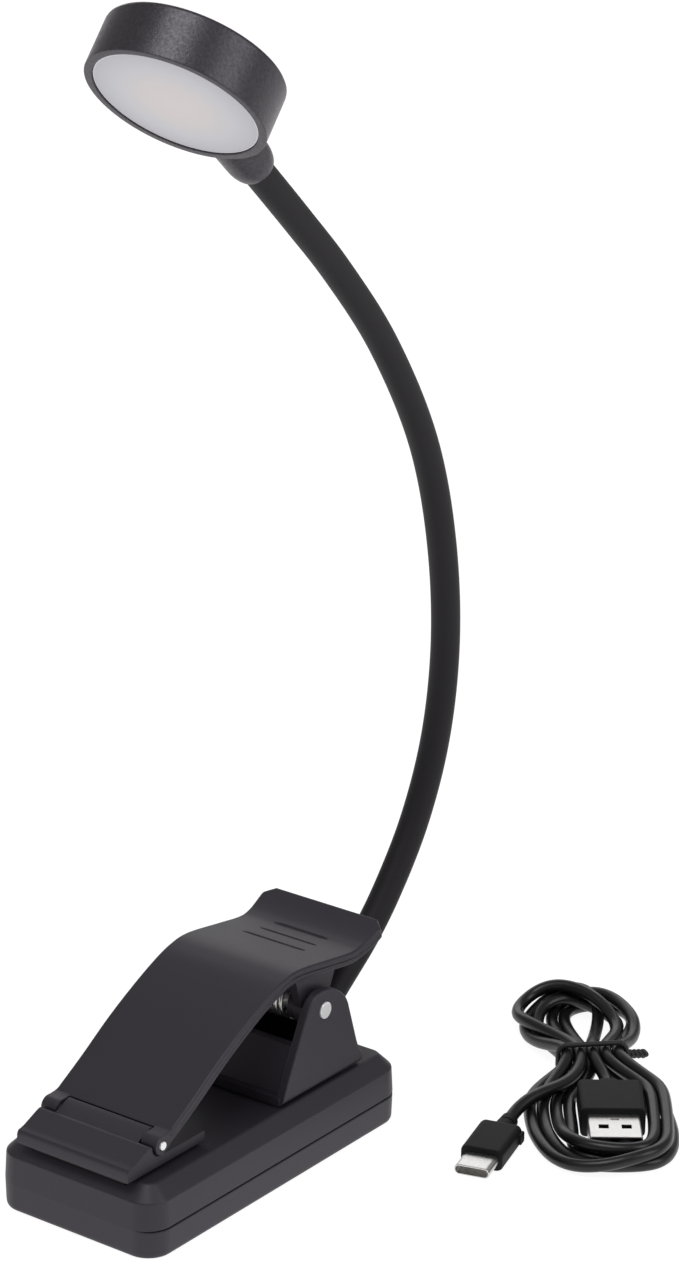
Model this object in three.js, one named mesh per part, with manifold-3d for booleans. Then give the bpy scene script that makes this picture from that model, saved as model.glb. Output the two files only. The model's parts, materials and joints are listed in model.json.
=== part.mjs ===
// Clip-on reading lamp: weighted base with a spring clamp, a gooseneck arm, a round LED head,
// and its charging cable tied in a hank beside it. Millimetres, +Z up. The origin is the centre
// of the base's underside; -Y is the jaw end of the base and +Y the end the arm leaves from.
import * as THREE from 'three';
import { mergeVertices } from 'three/addons/utils/BufferGeometryUtils.js';
import Module from 'manifold-3d';

const wasm = await Module();
wasm.setup();

// ---- driving dimensions -------------------------------------------------------------------

const GAP = 0.3; // air left between neighbouring solids

const BASE = { width: 45, length: 90.5, corner: 6, top: 16.5, chamfer: 3.2, wall: 2, parting: 6.7 };
const HALF_W = BASE.width / 2;
const HALF_L = BASE.length / 2;
const PARTING_GAP = 0.15; // half the line between the two base shells

const PIVOT = { y: 19.7, z: 35.2, radius: 1.9 }; // clamp pivot pin, along X
const HINGE = { y: -34.3, z: 22.3, radius: 1.0, barrel: 2.2 }; // jaw hinge pin, along X

const BRACKET = { outer: 19, ear: 2.2, front: 4.3, back: 28.5, floor: 2 };
const LEVER = { halfWidth: 16.4, thickness: 3.05, flangeOut: 15.8, flangeIn: 13.6, end: 44.7 };
const LEVER_TAIL = { from: 35, halfWidth: 17, cornerCut: 2.15 }; // the plate widens a little to its rear end
const JAW = { halfWidth: 15.7, knuckle: 11.7, front: -45.2, back: -19, under: 17.3, top: 19.8 };

const SLEEVE = { radius: 3.45, bore: 2.3, sides: 14 };
const CORE = { radius: 2.0, sides: 8 };
const ARM_SEGMENTS = 8;
const ARM_FOOT = new THREE.Vector3(0, 37.5, 17);
const ARM_RISE = THREE.MathUtils.degToRad(37); // slope of the arm where it leaves the base
const SOCKET = { outer: 4.85, bore: 3.75, below: 7, above: 9, plateHalf: 7.5, plateBack: 41.1 };
const NECK_BREAK = 1.5; // gap between two arm segments, so that each can tilt

const HEAD = { radius: 20, thickness: 12, wall: 1.8, axisToFace: 5.55, lens: 18.1 };
const HEAD_CENTRE = new THREE.Vector3(0, -6, 246.15); // where the arm's axis would cross it
const HEAD_FACING = new THREE.Vector3(0.068, -0.676, -0.734);
const ARM_END = new THREE.Vector3(0, -0.73, 0.683); // direction of the arm as it meets the head
const COLLAR = { outer: 5.15, mouth: 4.2, bore: 3.75, spigot: 3.2, length: 12 };

const CABLE = { diameter: 3, tieAt: new THREE.Vector2(44.5, 91), up: new THREE.Vector2(-0.6, 0.8) };
const HANK = { height: 6.6, low: 3.3, tieThickness: 1 };

// ---- materials ------------------------------------------------------------------------------

const finish = (color, roughness, metalness = 0) =>
  new THREE.MeshStandardMaterial({ color, roughness, metalness });

const BLACK_PLASTIC = finish(0x2c2b2f, 0.55);
const BLACK_RUBBER = finish(0x1b1b1c, 0.8);
const HEAD_PAINT = finish(0x2a2a2c, 0.4, 0.3);
const STEEL = finish(0xc9c9cb, 0.25, 1);
const ALUMINIUM = finish(0xb9bbbe, 0.4, 1);
const DIFFUSER = finish(0xdfdde0, 0.6);
const WHITE_PLASTIC = finish(0xeeeeee, 0.5);
const CIRCUIT_BOARD = finish(0x1f5b34, 0.6);
const POUCH = finish(0xa8abb0, 0.35, 0.6);
const CABLE_BLACK = finish(0x1d1d1f, 0.45);

// ---- helpers --------------------------------------------------------------------------------

// A closed geometry as a solid that can be joined and cut.
function solid(geometry) {
  const bare = geometry.clone();
  bare.deleteAttribute('normal');
  bare.deleteAttribute('uv');
  const merged = mergeVertices(bare, 1e-4);
  return new wasm.Manifold(new wasm.Mesh({
    numProp: 3,
    vertProperties: merged.attributes.position.array,
    triVerts: new Uint32Array(merged.index.array),
  }));
}

// A solid back as a geometry, with flat facets.
function surface(body) {
  const mesh = body.getMesh();
  const indexed = new THREE.BufferGeometry();
  indexed.setAttribute('position', new THREE.BufferAttribute(new Float32Array(mesh.vertProperties), 3));
  indexed.setIndex(new THREE.BufferAttribute(new Uint32Array(mesh.triVerts), 1));
  const flat = indexed.toNonIndexed();
  flat.computeVertexNormals();
  return flat;
}

const union = (...bodies) => bodies.reduce((whole, body) => whole.add(body));
const cut = (body, ...tools) => tools.reduce((rest, tool) => rest.subtract(tool), body);

function box(low, high) {
  const size = high.map((value, i) => value - low[i]);
  const middle = high.map((value, i) => (value + low[i]) / 2);
  return solid(new THREE.BoxGeometry(...size).translate(...middle));
}

// A round bar between two points.
function rod(radius, from, to, sides = 24) {
  const start = new THREE.Vector3(...from);
  const along = new THREE.Vector3(...to).sub(start);
  const bar = new THREE.CylinderGeometry(radius, radius, along.length(), sides);
  bar.translate(0, along.length() / 2, 0);
  const turn = new THREE.Quaternion().setFromUnitVectors(new THREE.Vector3(0, 1, 0), along.normalize());
  return solid(bar.applyQuaternion(turn).translate(...from));
}

const rodX = (radius, x0, x1, { y, z }, sides) => rod(radius, [x0, y, z], [x1, y, z], sides);

// A side outline in (y, z), pushed out along X.
function sidePrism(shape, x0, x1, curveSegments = 6) {
  const prism = new THREE.ExtrudeGeometry(shape, { depth: x1 - x0, bevelEnabled: false, curveSegments });
  const toSide = new THREE.Matrix4().makeBasis(
    new THREE.Vector3(0, 1, 0), new THREE.Vector3(0, 0, 1), new THREE.Vector3(1, 0, 0));
  return solid(prism.applyMatrix4(toSide).translate(x0, 0, 0));
}

// A plan outline in (x, y), pushed up from z0 to z1.
function planPrism(shape, z0, z1, curveSegments = 3) {
  const prism = new THREE.ExtrudeGeometry(shape, { depth: z1 - z0, bevelEnabled: false, curveSegments });
  return solid(prism.translate(0, 0, z0));
}

const outline = (points) => new THREE.Shape(points.map(([a, b]) => new THREE.Vector2(a, b)));

// A round section, with a hole of radius `bore` if it has one. A full circle gets two points for each
// curve segment.
function ring(radius, bore = 0) {
  const shape = new THREE.Shape();
  shape.absarc(0, 0, radius, 0, Math.PI * 2);
  if (bore > 0) {
    shape.holes.push(new THREE.Path().absarc(0, 0, bore, 0, Math.PI * 2, true));
  }
  return shape;
}

function roundedRectangle(halfX, halfY, radius) {
  const shape = new THREE.Shape();
  shape.moveTo(halfX - radius, -halfY);
  shape.absarc(halfX - radius, -halfY + radius, radius, -Math.PI / 2, 0);
  shape.absarc(halfX - radius, halfY - radius, radius, 0, Math.PI / 2);
  shape.absarc(-halfX + radius, halfY - radius, radius, Math.PI / 2, Math.PI);
  shape.absarc(-halfX + radius, -halfY + radius, radius, Math.PI, Math.PI * 1.5);
  return shape;
}

// A rounded block whose top and bottom edges are cut back by `edge`, in `steps` facets.
function edgedBlock(halfX, halfY, radius, z0, z1, edge, steps) {
  const block = new THREE.ExtrudeGeometry(roundedRectangle(halfX, halfY, radius), {
    depth: z1 - z0 - 2 * edge, curveSegments: 3,
    bevelThickness: edge, bevelSize: edge, bevelOffset: -edge, bevelSegments: steps,
  });
  return solid(block.translate(0, 0, z0 + edge));
}

// A profile of [radius, height] pairs turned about Z; it starts and ends on the axis.
const turned = (profile, sides) =>
  new THREE.LatheGeometry(profile.map(([r, h]) => new THREE.Vector2(r, h)), sides).rotateX(Math.PI / 2);

const root = new THREE.Group();

function part(name, shape, material, parent = root) {
  const geometry = shape.isBufferGeometry ? shape : surface(shape);
  const mesh = new THREE.Mesh(geometry, material);
  mesh.name = name;
  parent.add(mesh);
  return mesh;
}

// ---- base -----------------------------------------------------------------------------------

const SCREW = { radius: 1.1, hole: 1.4, head: 2.2, headHeight: 1.3 };
const BASE_SCREWS = [[-17.2, -39.2], [17.2, -39.2], [-17.2, 39.2], [17.2, 39.2]];
const BRACKET_SCREWS = [[-9, 16], [9, 16]];
const CHARGE_PORT = { x: -9, z: 6.1, halfWidth: 4.47, halfHeight: 1.58 };
const BUTTON = { x: 9, z: 9.9, halfWidth: 4.5, halfHeight: 2.2, proud: 0.8 };
const INDICATOR = { x: 1.2, z: 9.9, radius: 1.0 };
const GRIP = { halfWidth: 13, front: -43, back: -21.5 };

// An oval hole or plug in the base's rear face, from y0 to y1.
function rearOval({ x, z, halfWidth, halfHeight }, y0, y1, extra = 0) {
  const shape = roundedRectangle(halfWidth + extra, halfHeight + extra, halfHeight + extra - 0.01);
  const oval = new THREE.ExtrudeGeometry(shape, { depth: y1 - y0, bevelEnabled: false, curveSegments: 2 });
  return solid(oval.rotateX(Math.PI / 2).translate(x, y1, z));
}

function baseLowerShell() {
  const top = BASE.parting - PARTING_GAP;
  const inner = { x: HALF_W - BASE.wall, y: HALF_L - BASE.wall, r: BASE.corner - BASE.wall };
  const block = edgedBlock(HALF_W, HALF_L, BASE.corner, 0, top + 2, 0.8, 2);
  const tray = cut(block,
    box([-30, -60, top], [30, 60, top + 5]),
    planPrism(roundedRectangle(inner.x, inner.y, inner.r), BASE.wall, top + 1));
  const bosses = BASE_SCREWS.map(([x, y]) => rod(3.1, [x, y, 1], [x, y, 5], 16));
  const holes = BASE_SCREWS.flatMap(([x, y]) => [
    rod(SCREW.hole, [x, y, -1], [x, y, 6], 12),
    rod(SCREW.head + GAP, [x, y, -1], [x, y, 2.1], 16)]);
  return cut(union(tray, ...bosses), ...holes, rearOval(CHARGE_PORT, 42, 47, GAP));
}

const armDirection = new THREE.Vector3(0, Math.cos(ARM_RISE), Math.sin(ARM_RISE));
const onFootAxis = (distance) => ARM_FOOT.clone().addScaledVector(armDirection, distance).toArray();

function baseUpperShell() {
  const bottom = BASE.parting + PARTING_GAP;
  const inner = { x: HALF_W - BASE.wall, y: HALF_L - BASE.wall, r: BASE.corner - BASE.wall };
  const outside = edgedBlock(HALF_W, HALF_L, BASE.corner, -BASE.top, BASE.top, BASE.chamfer, 1);
  const inside = edgedBlock(inner.x, inner.y, inner.r,
    -BASE.top + BASE.wall, BASE.top - BASE.wall, BASE.chamfer - 2, 1);
  const cover = cut(outside, inside, box([-30, -60, -30], [30, 60, bottom]));
  const bosses = BASE_SCREWS.map(([x, y]) => rod(2.8, [x, y, bottom], [x, y, 15], 16));
  const bracketBosses = BRACKET_SCREWS.map(([x, y]) => rod(2.8, [x, y, 9], [x, y, 15], 16));
  const holes = BASE_SCREWS.map(([x, y]) => rod(SCREW.hole, [x, y, 5], [x, y, 12.5], 12));
  const bracketHoles = BRACKET_SCREWS.map(([x, y]) => rod(SCREW.hole, [x, y, 8], [x, y, 20], 12));
  const gripPocket = box(
    [-GRIP.halfWidth - GAP, GRIP.front - GAP, BASE.top - 1.2],
    [GRIP.halfWidth + GAP, GRIP.back + GAP, BASE.top + 1]);
  return cut(union(cover, ...bosses, ...bracketBosses), ...holes, ...bracketHoles, gripPocket,
    rod(SOCKET.outer + GAP, onFootAxis(-12), onFootAxis(14), 24),
    rearOval(CHARGE_PORT, 42, 47, GAP),
    rearOval(BUTTON, 42, 47, GAP),
    rod(INDICATOR.radius + GAP, [INDICATOR.x, 42, INDICATOR.z], [INDICATOR.x, 47, INDICATOR.z], 12));
}

part('base_lower_shell', baseLowerShell(), BLACK_PLASTIC);
part('base_upper_shell', baseUpperShell(), BLACK_PLASTIC);

part('base_grip_pad', box(
  [-GRIP.halfWidth, GRIP.front, BASE.top - 0.9],
  [GRIP.halfWidth, GRIP.back, BASE.top]), BLACK_RUBBER);

const BOARD = { low: 3, high: 4.2, halfWidth: 13.7, front: 20, back: 42.6 };
part('battery_cell', edgedBlock(17, 25, 2, 2.4, 7.8, 0.6, 1).translate([0, -11, 0]), POUCH);
part('main_circuit_board', box(
  [-BOARD.halfWidth, BOARD.front, BOARD.low],
  [BOARD.halfWidth, BOARD.back, BOARD.high]), CIRCUIT_BOARD);

const portShell = cut(rearOval(CHARGE_PORT, 38, HALF_L - 0.15), rearOval(CHARGE_PORT, 39, 47, -0.3));
const portTongue = box(
  [CHARGE_PORT.x - 3.3, 38.5, CHARGE_PORT.z - 0.35],
  [CHARGE_PORT.x + 3.3, HALF_L - 1.2, CHARGE_PORT.z + 0.35]);
part('usb_c_port', union(portShell, portTongue), STEEL);

const SWITCH_FRONT = 41.1;
part('tact_switch', union(
  box([BUTTON.x - 3, 36, BOARD.high + GAP], [BUTTON.x + 3, 40.2, BUTTON.z + 2.5]),
  rod(1.5, [BUTTON.x, 40, BUTTON.z], [BUTTON.x, SWITCH_FRONT, BUTTON.z], 12)), STEEL);

part('charge_indicator', union(
  rod(INDICATOR.radius, [INDICATOR.x, 41.5, INDICATOR.z], [INDICATOR.x, HALF_L + 0.1, INDICATOR.z], 12),
  rod(INDICATOR.radius + 0.8, [INDICATOR.x, 41.2, INDICATOR.z], [INDICATOR.x, 42.6, INDICATOR.z], 12)),
DIFFUSER);

function panScrew(name, [x, y], headLow, shankEnd, towards) {
  const headHigh = headLow + towards * SCREW.headHeight;
  part(name, union(
    rod(SCREW.head, [x, y, headLow], [x, y, headHigh], 16),
    rod(SCREW.radius, [x, y, (headLow + headHigh) / 2], [x, y, shankEnd], 12)), STEEL);
}

BASE_SCREWS.forEach((at, i) => panScrew(`base_screw_${i + 1}`, at, 0.5, 11.5, 1));
const bracketFloorTop = BASE.top + GAP + BRACKET.floor;
BRACKET_SCREWS.forEach((at, i) =>
  panScrew(`bracket_screw_${i + 1}`, at, bracketFloorTop + GAP + SCREW.headHeight, 10, -1));

// Plug-shaped power button with a flange behind the wall, so that it can't fall out.
const buttonFlangeBack = HALF_L - BASE.wall - GAP;
part('power_button', union(
  rearOval(BUTTON, 42.4, HALF_L + BUTTON.proud),
  rearOval(BUTTON, 42.1, buttonFlangeBack, 0.9)), BLACK_PLASTIC);

// ---- clamp bracket and pivot ----------------------------------------------------------------

function earOutline() {
  const foot = BASE.top + GAP;
  const shape = new THREE.Shape();
  shape.moveTo(BRACKET.front, foot);
  shape.lineTo(6.7, 22.9);
  shape.lineTo(12.4, 34.6);
  shape.bezierCurveTo(14.2, 38.4, 16, 40.2, 18.6, 40.1);
  shape.bezierCurveTo(23, 40, 27, 37.6, 28.6, 33.7);
  shape.lineTo(31.6, 24.4);
  shape.quadraticCurveTo(32.6, 21, 34.3, 19.3);
  shape.lineTo(34.3, foot);
  return shape;
}

function pivotBracket() {
  const foot = BASE.top + GAP;
  const inner = BRACKET.outer - BRACKET.ear;
  const floor = box([-BRACKET.outer, BRACKET.front, foot], [BRACKET.outer, BRACKET.back, bracketFloorTop]);
  const frontWall = sidePrism(outline([
    [5.3, foot], [7.7, 22.9], [10.6, 29], [12.6, 29], [9.7, 22.9], [7.3, foot]]), -inner - 0.5, inner + 0.5);
  const backWall = box([-inner - 0.5, 28.3, bracketFloorTop - 0.2], [inner + 0.5, 30.2, 29.2]);
  const ears = [
    sidePrism(earOutline(), inner, BRACKET.outer, 4),
    sidePrism(earOutline(), -BRACKET.outer, -inner, 4)];
  const round = new THREE.Shape(); // rounds the two lower long edges
  const r = 2;
  round.moveTo(-BRACKET.outer, 50);
  round.absarc(-BRACKET.outer + r, foot + r, r, Math.PI, Math.PI * 1.5);
  round.absarc(BRACKET.outer - r, foot + r, r, -Math.PI / 2, 0);
  round.lineTo(BRACKET.outer, 50);
  const envelope = new THREE.ExtrudeGeometry(round, { depth: 60, bevelEnabled: false, curveSegments: 4 });
  const rounded = union(floor, frontWall, backWall, ...ears)
    .intersect(solid(envelope.rotateX(Math.PI / 2).translate(0, 50, 0)));
  return cut(rounded,
    rodX(PIVOT.radius + GAP, -25, 25, PIVOT, 24),
    ...BRACKET_SCREWS.map(([x, y]) => rod(SCREW.hole, [x, y, 10], [x, y, 30], 12)));
}

part('pivot_bracket', pivotBracket(), BLACK_PLASTIC);
part('pivot_pin', rodX(PIVOT.radius, -BRACKET.outer - 0.3, BRACKET.outer + 0.3, PIVOT, 20), STEEL);

// Torsion spring: a close coil round the pivot pin. One leg stands on the bracket floor, and the other end
// sits in a notch in the boss on the lever's flange.
const SPRING = { coil: 4.0, wire: 0.5, halfLength: 9.6, turns: 13, stepsPerTurn: 10 };
const SPRING_NOTCH = { y: 18.6, z: 31.6, radius: 0.8 };

function springPath() {
  const points = [new THREE.Vector3(-SPRING.halfLength, 10.8, bracketFloorTop + GAP + SPRING.wire + 0.2)];
  const steps = SPRING.turns * SPRING.stepsPerTurn;
  const startAngle = Math.PI; // the coil is left and met on its jaw side
  for (let i = 0; i <= steps; i += 1) {
    const angle = startAngle + (i / SPRING.stepsPerTurn) * 2 * Math.PI;
    const x = -SPRING.halfLength + (2 * SPRING.halfLength * i) / steps;
    points.push(new THREE.Vector3(
      x, PIVOT.y + SPRING.coil * Math.cos(angle), PIVOT.z + SPRING.coil * Math.sin(angle)));
  }
  const hook = [[9.8, 16.2, 33.4], [9.9, 17, 32.3], [10.3, 18.1, 31.6], [12.5, SPRING_NOTCH.y, SPRING_NOTCH.z]];
  points.push(...hook.map((p) => new THREE.Vector3(...p)));
  return points;
}

function tube(points, radius, sides, steps) {
  return new THREE.ExtrudeGeometry(ring(radius), {
    steps, extrudePath: new THREE.CatmullRomCurve3(points), curveSegments: sides / 2, bevelEnabled: false,
  });
}

const springSteps = SPRING.turns * SPRING.stepsPerTurn + 14; // the coil and its two ends
part('torsion_spring', solid(tube(springPath(), SPRING.wire, 6, springSteps)), STEEL);

// ---- lever ----------------------------------------------------------------------------------

const LEVER_TOP = new THREE.SplineCurve([
  [-31.6, 24.5], [-22.8, 29.7], [-14, 35.3], [-6, 39.7], [2, 43.5], [8, 45.6], [14.2, 46.3],
  [25.4, 44.8], [33, 43.75], [36.8, 44.05], [40.3, 45.2], [LEVER.end, 47.3],
].map(([y, z]) => new THREE.Vector2(y, z)));

function leverPlate() {
  const samples = 26;
  const top = LEVER_TOP.getPoints(samples);
  const under = top.map((point, i) => {
    const along = LEVER_TOP.getTangent(i / samples);
    return new THREE.Vector2(point.x + along.y * LEVER.thickness, point.y - along.x * LEVER.thickness);
  });
  const profile = new THREE.Shape([...under, ...top.reverse()]);
  const plate = sidePrism(profile, -LEVER_TAIL.halfWidth, LEVER_TAIL.halfWidth);
  const cutFrom = LEVER.end - LEVER_TAIL.cornerCut;
  const narrow = LEVER_TAIL.halfWidth - LEVER_TAIL.cornerCut;
  const edge = [
    [LEVER.halfWidth, -50], [LEVER.halfWidth, LEVER_TAIL.from], [LEVER_TAIL.halfWidth, cutFrom],
    [narrow, LEVER.end + 0.6], [narrow, 50]];
  const plan = outline([...edge, ...edge.map(([x, y]) => [-x, y]).reverse()]);
  return plate.intersect(planPrism(plan, 0, 60));
}

const FLANGE_BOSS = { radius: 4, from: 11.3 }; // on the inside of each flange, round the pivot pin

function leverFlange(x0, x1) {
  const shape = new THREE.Shape();
  shape.moveTo(12.8, 44);
  shape.lineTo(15.2, 36.4);
  shape.absarc(PIVOT.y, PIVOT.z, 4.6, Math.PI * 0.92, Math.PI * 2.05);
  shape.lineTo(25.4, 37);
  shape.lineTo(28, 43);
  return sidePrism(shape, x0, x1, 5);
}

// A wall across the lever's underside, between its flanges.
function leverRib() {
  return sidePrism(outline([[26.4, 30.5], [27.7, 30.5], [27.7, 43.5], [26.4, 43.5]]),
    -LEVER.flangeIn - 0.5, LEVER.flangeIn + 0.5);
}

function leverKnuckle(x0, x1) {
  const arm = outline([
    [HINGE.y - 0.6, HINGE.z + 2.1], [HINGE.y - 0.2, HINGE.z - 2.1], [-31.4, 21.6], [-28.6, 23.6],
    [-27.4, 26.2], [-31.6, 24.5]]);
  return union(rodX(HINGE.barrel, x0, x1, HINGE, 16), sidePrism(arm, x0, x1));
}

function clampLever() {
  const knuckleIn = JAW.knuckle + GAP;
  const body = union(leverPlate(), leverRib(),
    leverFlange(LEVER.flangeIn, LEVER.flangeOut), leverFlange(-LEVER.flangeOut, -LEVER.flangeIn),
    rodX(FLANGE_BOSS.radius, FLANGE_BOSS.from, LEVER.flangeIn + 0.5, PIVOT),
    rodX(FLANGE_BOSS.radius, -LEVER.flangeIn - 0.5, -FLANGE_BOSS.from, PIVOT),
    leverKnuckle(knuckleIn, LEVER.halfWidth), leverKnuckle(-LEVER.halfWidth, -knuckleIn));
  return cut(body,
    rodX(SPRING_NOTCH.radius, FLANGE_BOSS.from - 0.5, 13, SPRING_NOTCH, 12),
    rodX(PIVOT.radius + GAP, -25, 25, PIVOT, 24),
    rodX(HINGE.radius + GAP, -25, 25, HINGE, 12));
}

part('clamp_lever', clampLever(), BLACK_PLASTIC);
part('jaw_hinge_pin', rodX(HINGE.radius, -16.7, 16.7, HINGE, 12), STEEL);

// ---- jaw ------------------------------------------------------------------------------------

function jawPlate() {
  const plate = sidePrism(outline([
    [JAW.front, JAW.under], [JAW.back, JAW.under], [JAW.back, JAW.top], [-36.6, JAW.top],
    [-37.2, 22.6], [-37.9, 22.9], [-42.7, 20.9], [-44.6, 20.4], [JAW.front, 19.8]]),
  -JAW.halfWidth, JAW.halfWidth);
  const web = sidePrism(outline([[-37, 19.5], [-32.2, 19.5], [-32.2, HINGE.z], [-36.6, 23.4]]),
    -JAW.knuckle, JAW.knuckle);
  const barrel = rodX(HINGE.barrel, -JAW.knuckle, JAW.knuckle, HINGE, 16);
  const padPocket = box(
    [-GRIP.halfWidth - GAP, GRIP.front - GAP, JAW.under - 1],
    [GRIP.halfWidth + GAP, GRIP.back + GAP, JAW.under + 0.9]);
  return cut(union(plate, web, barrel), padPocket, rodX(HINGE.radius + GAP, -25, 25, HINGE, 12));
}

part('jaw_plate', jawPlate(), BLACK_PLASTIC);
part('jaw_grip_pad', box(
  [-GRIP.halfWidth, GRIP.front, BASE.top + GAP],
  [GRIP.halfWidth, GRIP.back, JAW.under + 0.6]), BLACK_RUBBER);

// ---- arm ------------------------------------------------------------------------------------

function armSocket() {
  const boss = rod(SOCKET.outer, onFootAxis(-SOCKET.below), onFootAxis(SOCKET.above), 24);
  const plateTop = BASE.top - BASE.wall - GAP;
  const plate = box([-SOCKET.plateHalf, 29, plateTop - 1.5], [SOCKET.plateHalf, SOCKET.plateBack, plateTop]);
  return cut(union(boss, plate), rod(SOCKET.bore, onFootAxis(-20), onFootAxis(20), 24));
}

part('arm_socket', armSocket(), BLACK_PLASTIC);
part('arm_lock_nut', cut(
  rod(4, onFootAxis(-13), onFootAxis(-10.3), 6),
  rod(CORE.radius + GAP, onFootAxis(-20), onFootAxis(0), 12)), STEEL);

const CORE_START = -14;
const SLEEVE_START = -6.5;
const armEnd = HEAD_CENTRE.clone().addScaledVector(ARM_END, -(HEAD.radius + 4.5));

// The arm's centre line: straight out of the socket, then one long sweep over the base.
const ARM_LINE = new THREE.CatmullRomCurve3([
  new THREE.Vector3(...onFootAxis(CORE_START)),
  ARM_FOOT,
  ...[[51, 26.9], [60.2, 33.9], [68.5, 42.2], [79.2, 56.8], [87, 75.1], [90.3, 97.6], [88.1, 122.8],
    [80.3, 148.9], [64.1, 175.9], [46.2, 196.6], [32.1, 210.4]].map(([y, z]) => new THREE.Vector3(0, y, z)),
  armEnd,
], false, 'centripetal');
ARM_LINE.arcLengthDivisions = 800;
const ARM_LENGTH = ARM_LINE.getLength();

// A stretch of the arm's centre line, by distance from its start.
class ArmStretch extends THREE.Curve {
  constructor(from, to) {
    super();
    this.from = from;
    this.to = to;
  }

  getPoint(t) {
    return ARM_LINE.getPointAt((this.from + (this.to - this.from) * t) / ARM_LENGTH);
  }
}

function armTube(from, to, radius, bore, sides) {
  const steps = Math.round((to - from) / 6);
  return solid(new THREE.ExtrudeGeometry(ring(radius, bore), {
    steps, extrudePath: new ArmStretch(from, to), curveSegments: sides / 2, bevelEnabled: false,
  }));
}

const socketMouth = SOCKET.above - CORE_START;
const collarMouth = ARM_LENGTH - (COLLAR.length - 4.5);
const breakSpacing = (collarMouth - socketMouth) / (ARM_SEGMENTS - 1);
const breaks = Array.from({ length: ARM_SEGMENTS - 1 }, (_, k) => socketMouth + (k + 0.5) * breakSpacing);

for (let k = 0; k < ARM_SEGMENTS; k += 1) {
  const coreFrom = k === 0 ? 0 : breaks[k - 1] + NECK_BREAK / 2;
  const from = k === 0 ? SLEEVE_START - CORE_START : coreFrom;
  const to = k === ARM_SEGMENTS - 1 ? ARM_LENGTH : breaks[k] - NECK_BREAK / 2;
  part(`gooseneck_sleeve_${k + 1}`, armTube(from, to, SLEEVE.radius, SLEEVE.bore, SLEEVE.sides), BLACK_RUBBER);
  part(`gooseneck_core_${k + 1}`, armTube(coreFrom, to, CORE.radius, 0, CORE.sides), STEEL);
}

// ---- head -----------------------------------------------------------------------------------

// Head frame: +Z out of the light's face, +Y towards the arm, origin on the arm's axis.
const facing = HEAD_FACING.clone().normalize();
const headSide = ARM_END.clone().negate().cross(facing).normalize();
const towardsArm = facing.clone().cross(headSide);
const head = new THREE.Group();
head.applyMatrix4(new THREE.Matrix4().makeBasis(headSide, towardsArm, facing).setPosition(HEAD_CENTRE));
root.add(head);

const HEAD_SIDES = 40;
const faceZ = HEAD.axisToFace;
const backZ = faceZ - HEAD.thickness;
const innerR = HEAD.radius - HEAD.wall;

const disc = (radius, z0, z1, sides = HEAD_SIDES) => rod(radius, [0, 0, z0], [0, 0, z1], sides);

function headHousing() {
  const cup = solid(turned([
    [0, backZ], [HEAD.radius - 0.9, backZ], [HEAD.radius - 0.25, backZ + 0.3], [HEAD.radius, backZ + 0.9],
    [HEAD.radius, faceZ], [innerR + GAP, faceZ], [innerR + GAP, faceZ - 1.6], [innerR, faceZ - 1.6],
    [innerR, backZ + 1.6], [0, backZ + 1.6]], HEAD_SIDES));
  return cut(cup, rod(COLLAR.spigot + GAP, [0, 15, 0], [0, 25, 0], 16));
}

function headCollar() {
  const end = HEAD.radius + COLLAR.length;
  const bulb = new THREE.LatheGeometry([
    [0, HEAD.radius - 1.5], [COLLAR.outer, HEAD.radius - 1.5], [COLLAR.outer, end - 4.6],
    [COLLAR.outer - 0.25, end - 2.4], [COLLAR.mouth + 0.2, end - 0.5], [COLLAR.mouth, end], [0, end],
  ].map(([r, h]) => new THREE.Vector2(r, h)), 24);
  const outside = cut(solid(bulb), disc(HEAD.radius + GAP, -8, 8, 60));
  const spigot = rod(COLLAR.spigot, [0, innerR - 0.2, 0], [0, HEAD.radius + 2, 0], 16);
  return cut(union(outside, spigot), rod(COLLAR.bore, [0, HEAD.radius + 4, 0], [0, end + 5, 0], 20),
    rod(1.4, [0, 15, 0], [0, end, 0], 10));
}

const LED = { count: 12, ring: 10.5, long: 3.5, wide: 2.8, high: 0.8 };

function ledBoard() {
  const board = disc(innerR - GAP, -1.6, -0.6);
  const chips = Array.from({ length: LED.count }, (_, k) => {
    const angle = (k / LED.count) * 2 * Math.PI;
    const chip = new THREE.BoxGeometry(LED.long, LED.wide, LED.high + 0.2);
    return solid(chip.translate(LED.ring, 0, -0.6 + LED.high / 2 - 0.1).rotateZ(angle));
  });
  return union(board, ...chips);
}

part('head_housing', headHousing(), HEAD_PAINT, head);
part('head_collar', headCollar(), HEAD_PAINT, head);
part('heat_spreader', disc(innerR - GAP, backZ + 1.6 + GAP, -1.9), ALUMINIUM, head);
part('led_board', ledBoard(), WHITE_PLASTIC, head);
part('reflector_ring', cut(
  disc(innerR - GAP, 0.6, faceZ - 2.1),
  disc(innerR - 1.5, -1, 6)), WHITE_PLASTIC, head);
part('diffuser_lens', disc(HEAD.lens, faceZ - 1.8, faceZ - 0.3), DIFFUSER, head);

// ---- charging cable, tied in a hank on the surface beside the base ---------------------------

// Cable frame: +X across the hank, +Y along it, origin on the surface under the tie.
const cable = new THREE.Group();
cable.position.set(CABLE.tieAt.x, CABLE.tieAt.y, 0);
cable.rotation.z = Math.atan2(-CABLE.up.x, CABLE.up.y);
root.add(cable);

const USB_A = { x: 2.8, top: -18, bottom: -33.5, end: -44.8, halfWidth: 7.45, halfHeight: 3.7, z: 3.75 };
const USB_C = { at: [-20.6, -30.5, 2.75], turn: 0.3575, relief: 6, body: 14.6, shell: 6.4 };

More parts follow.
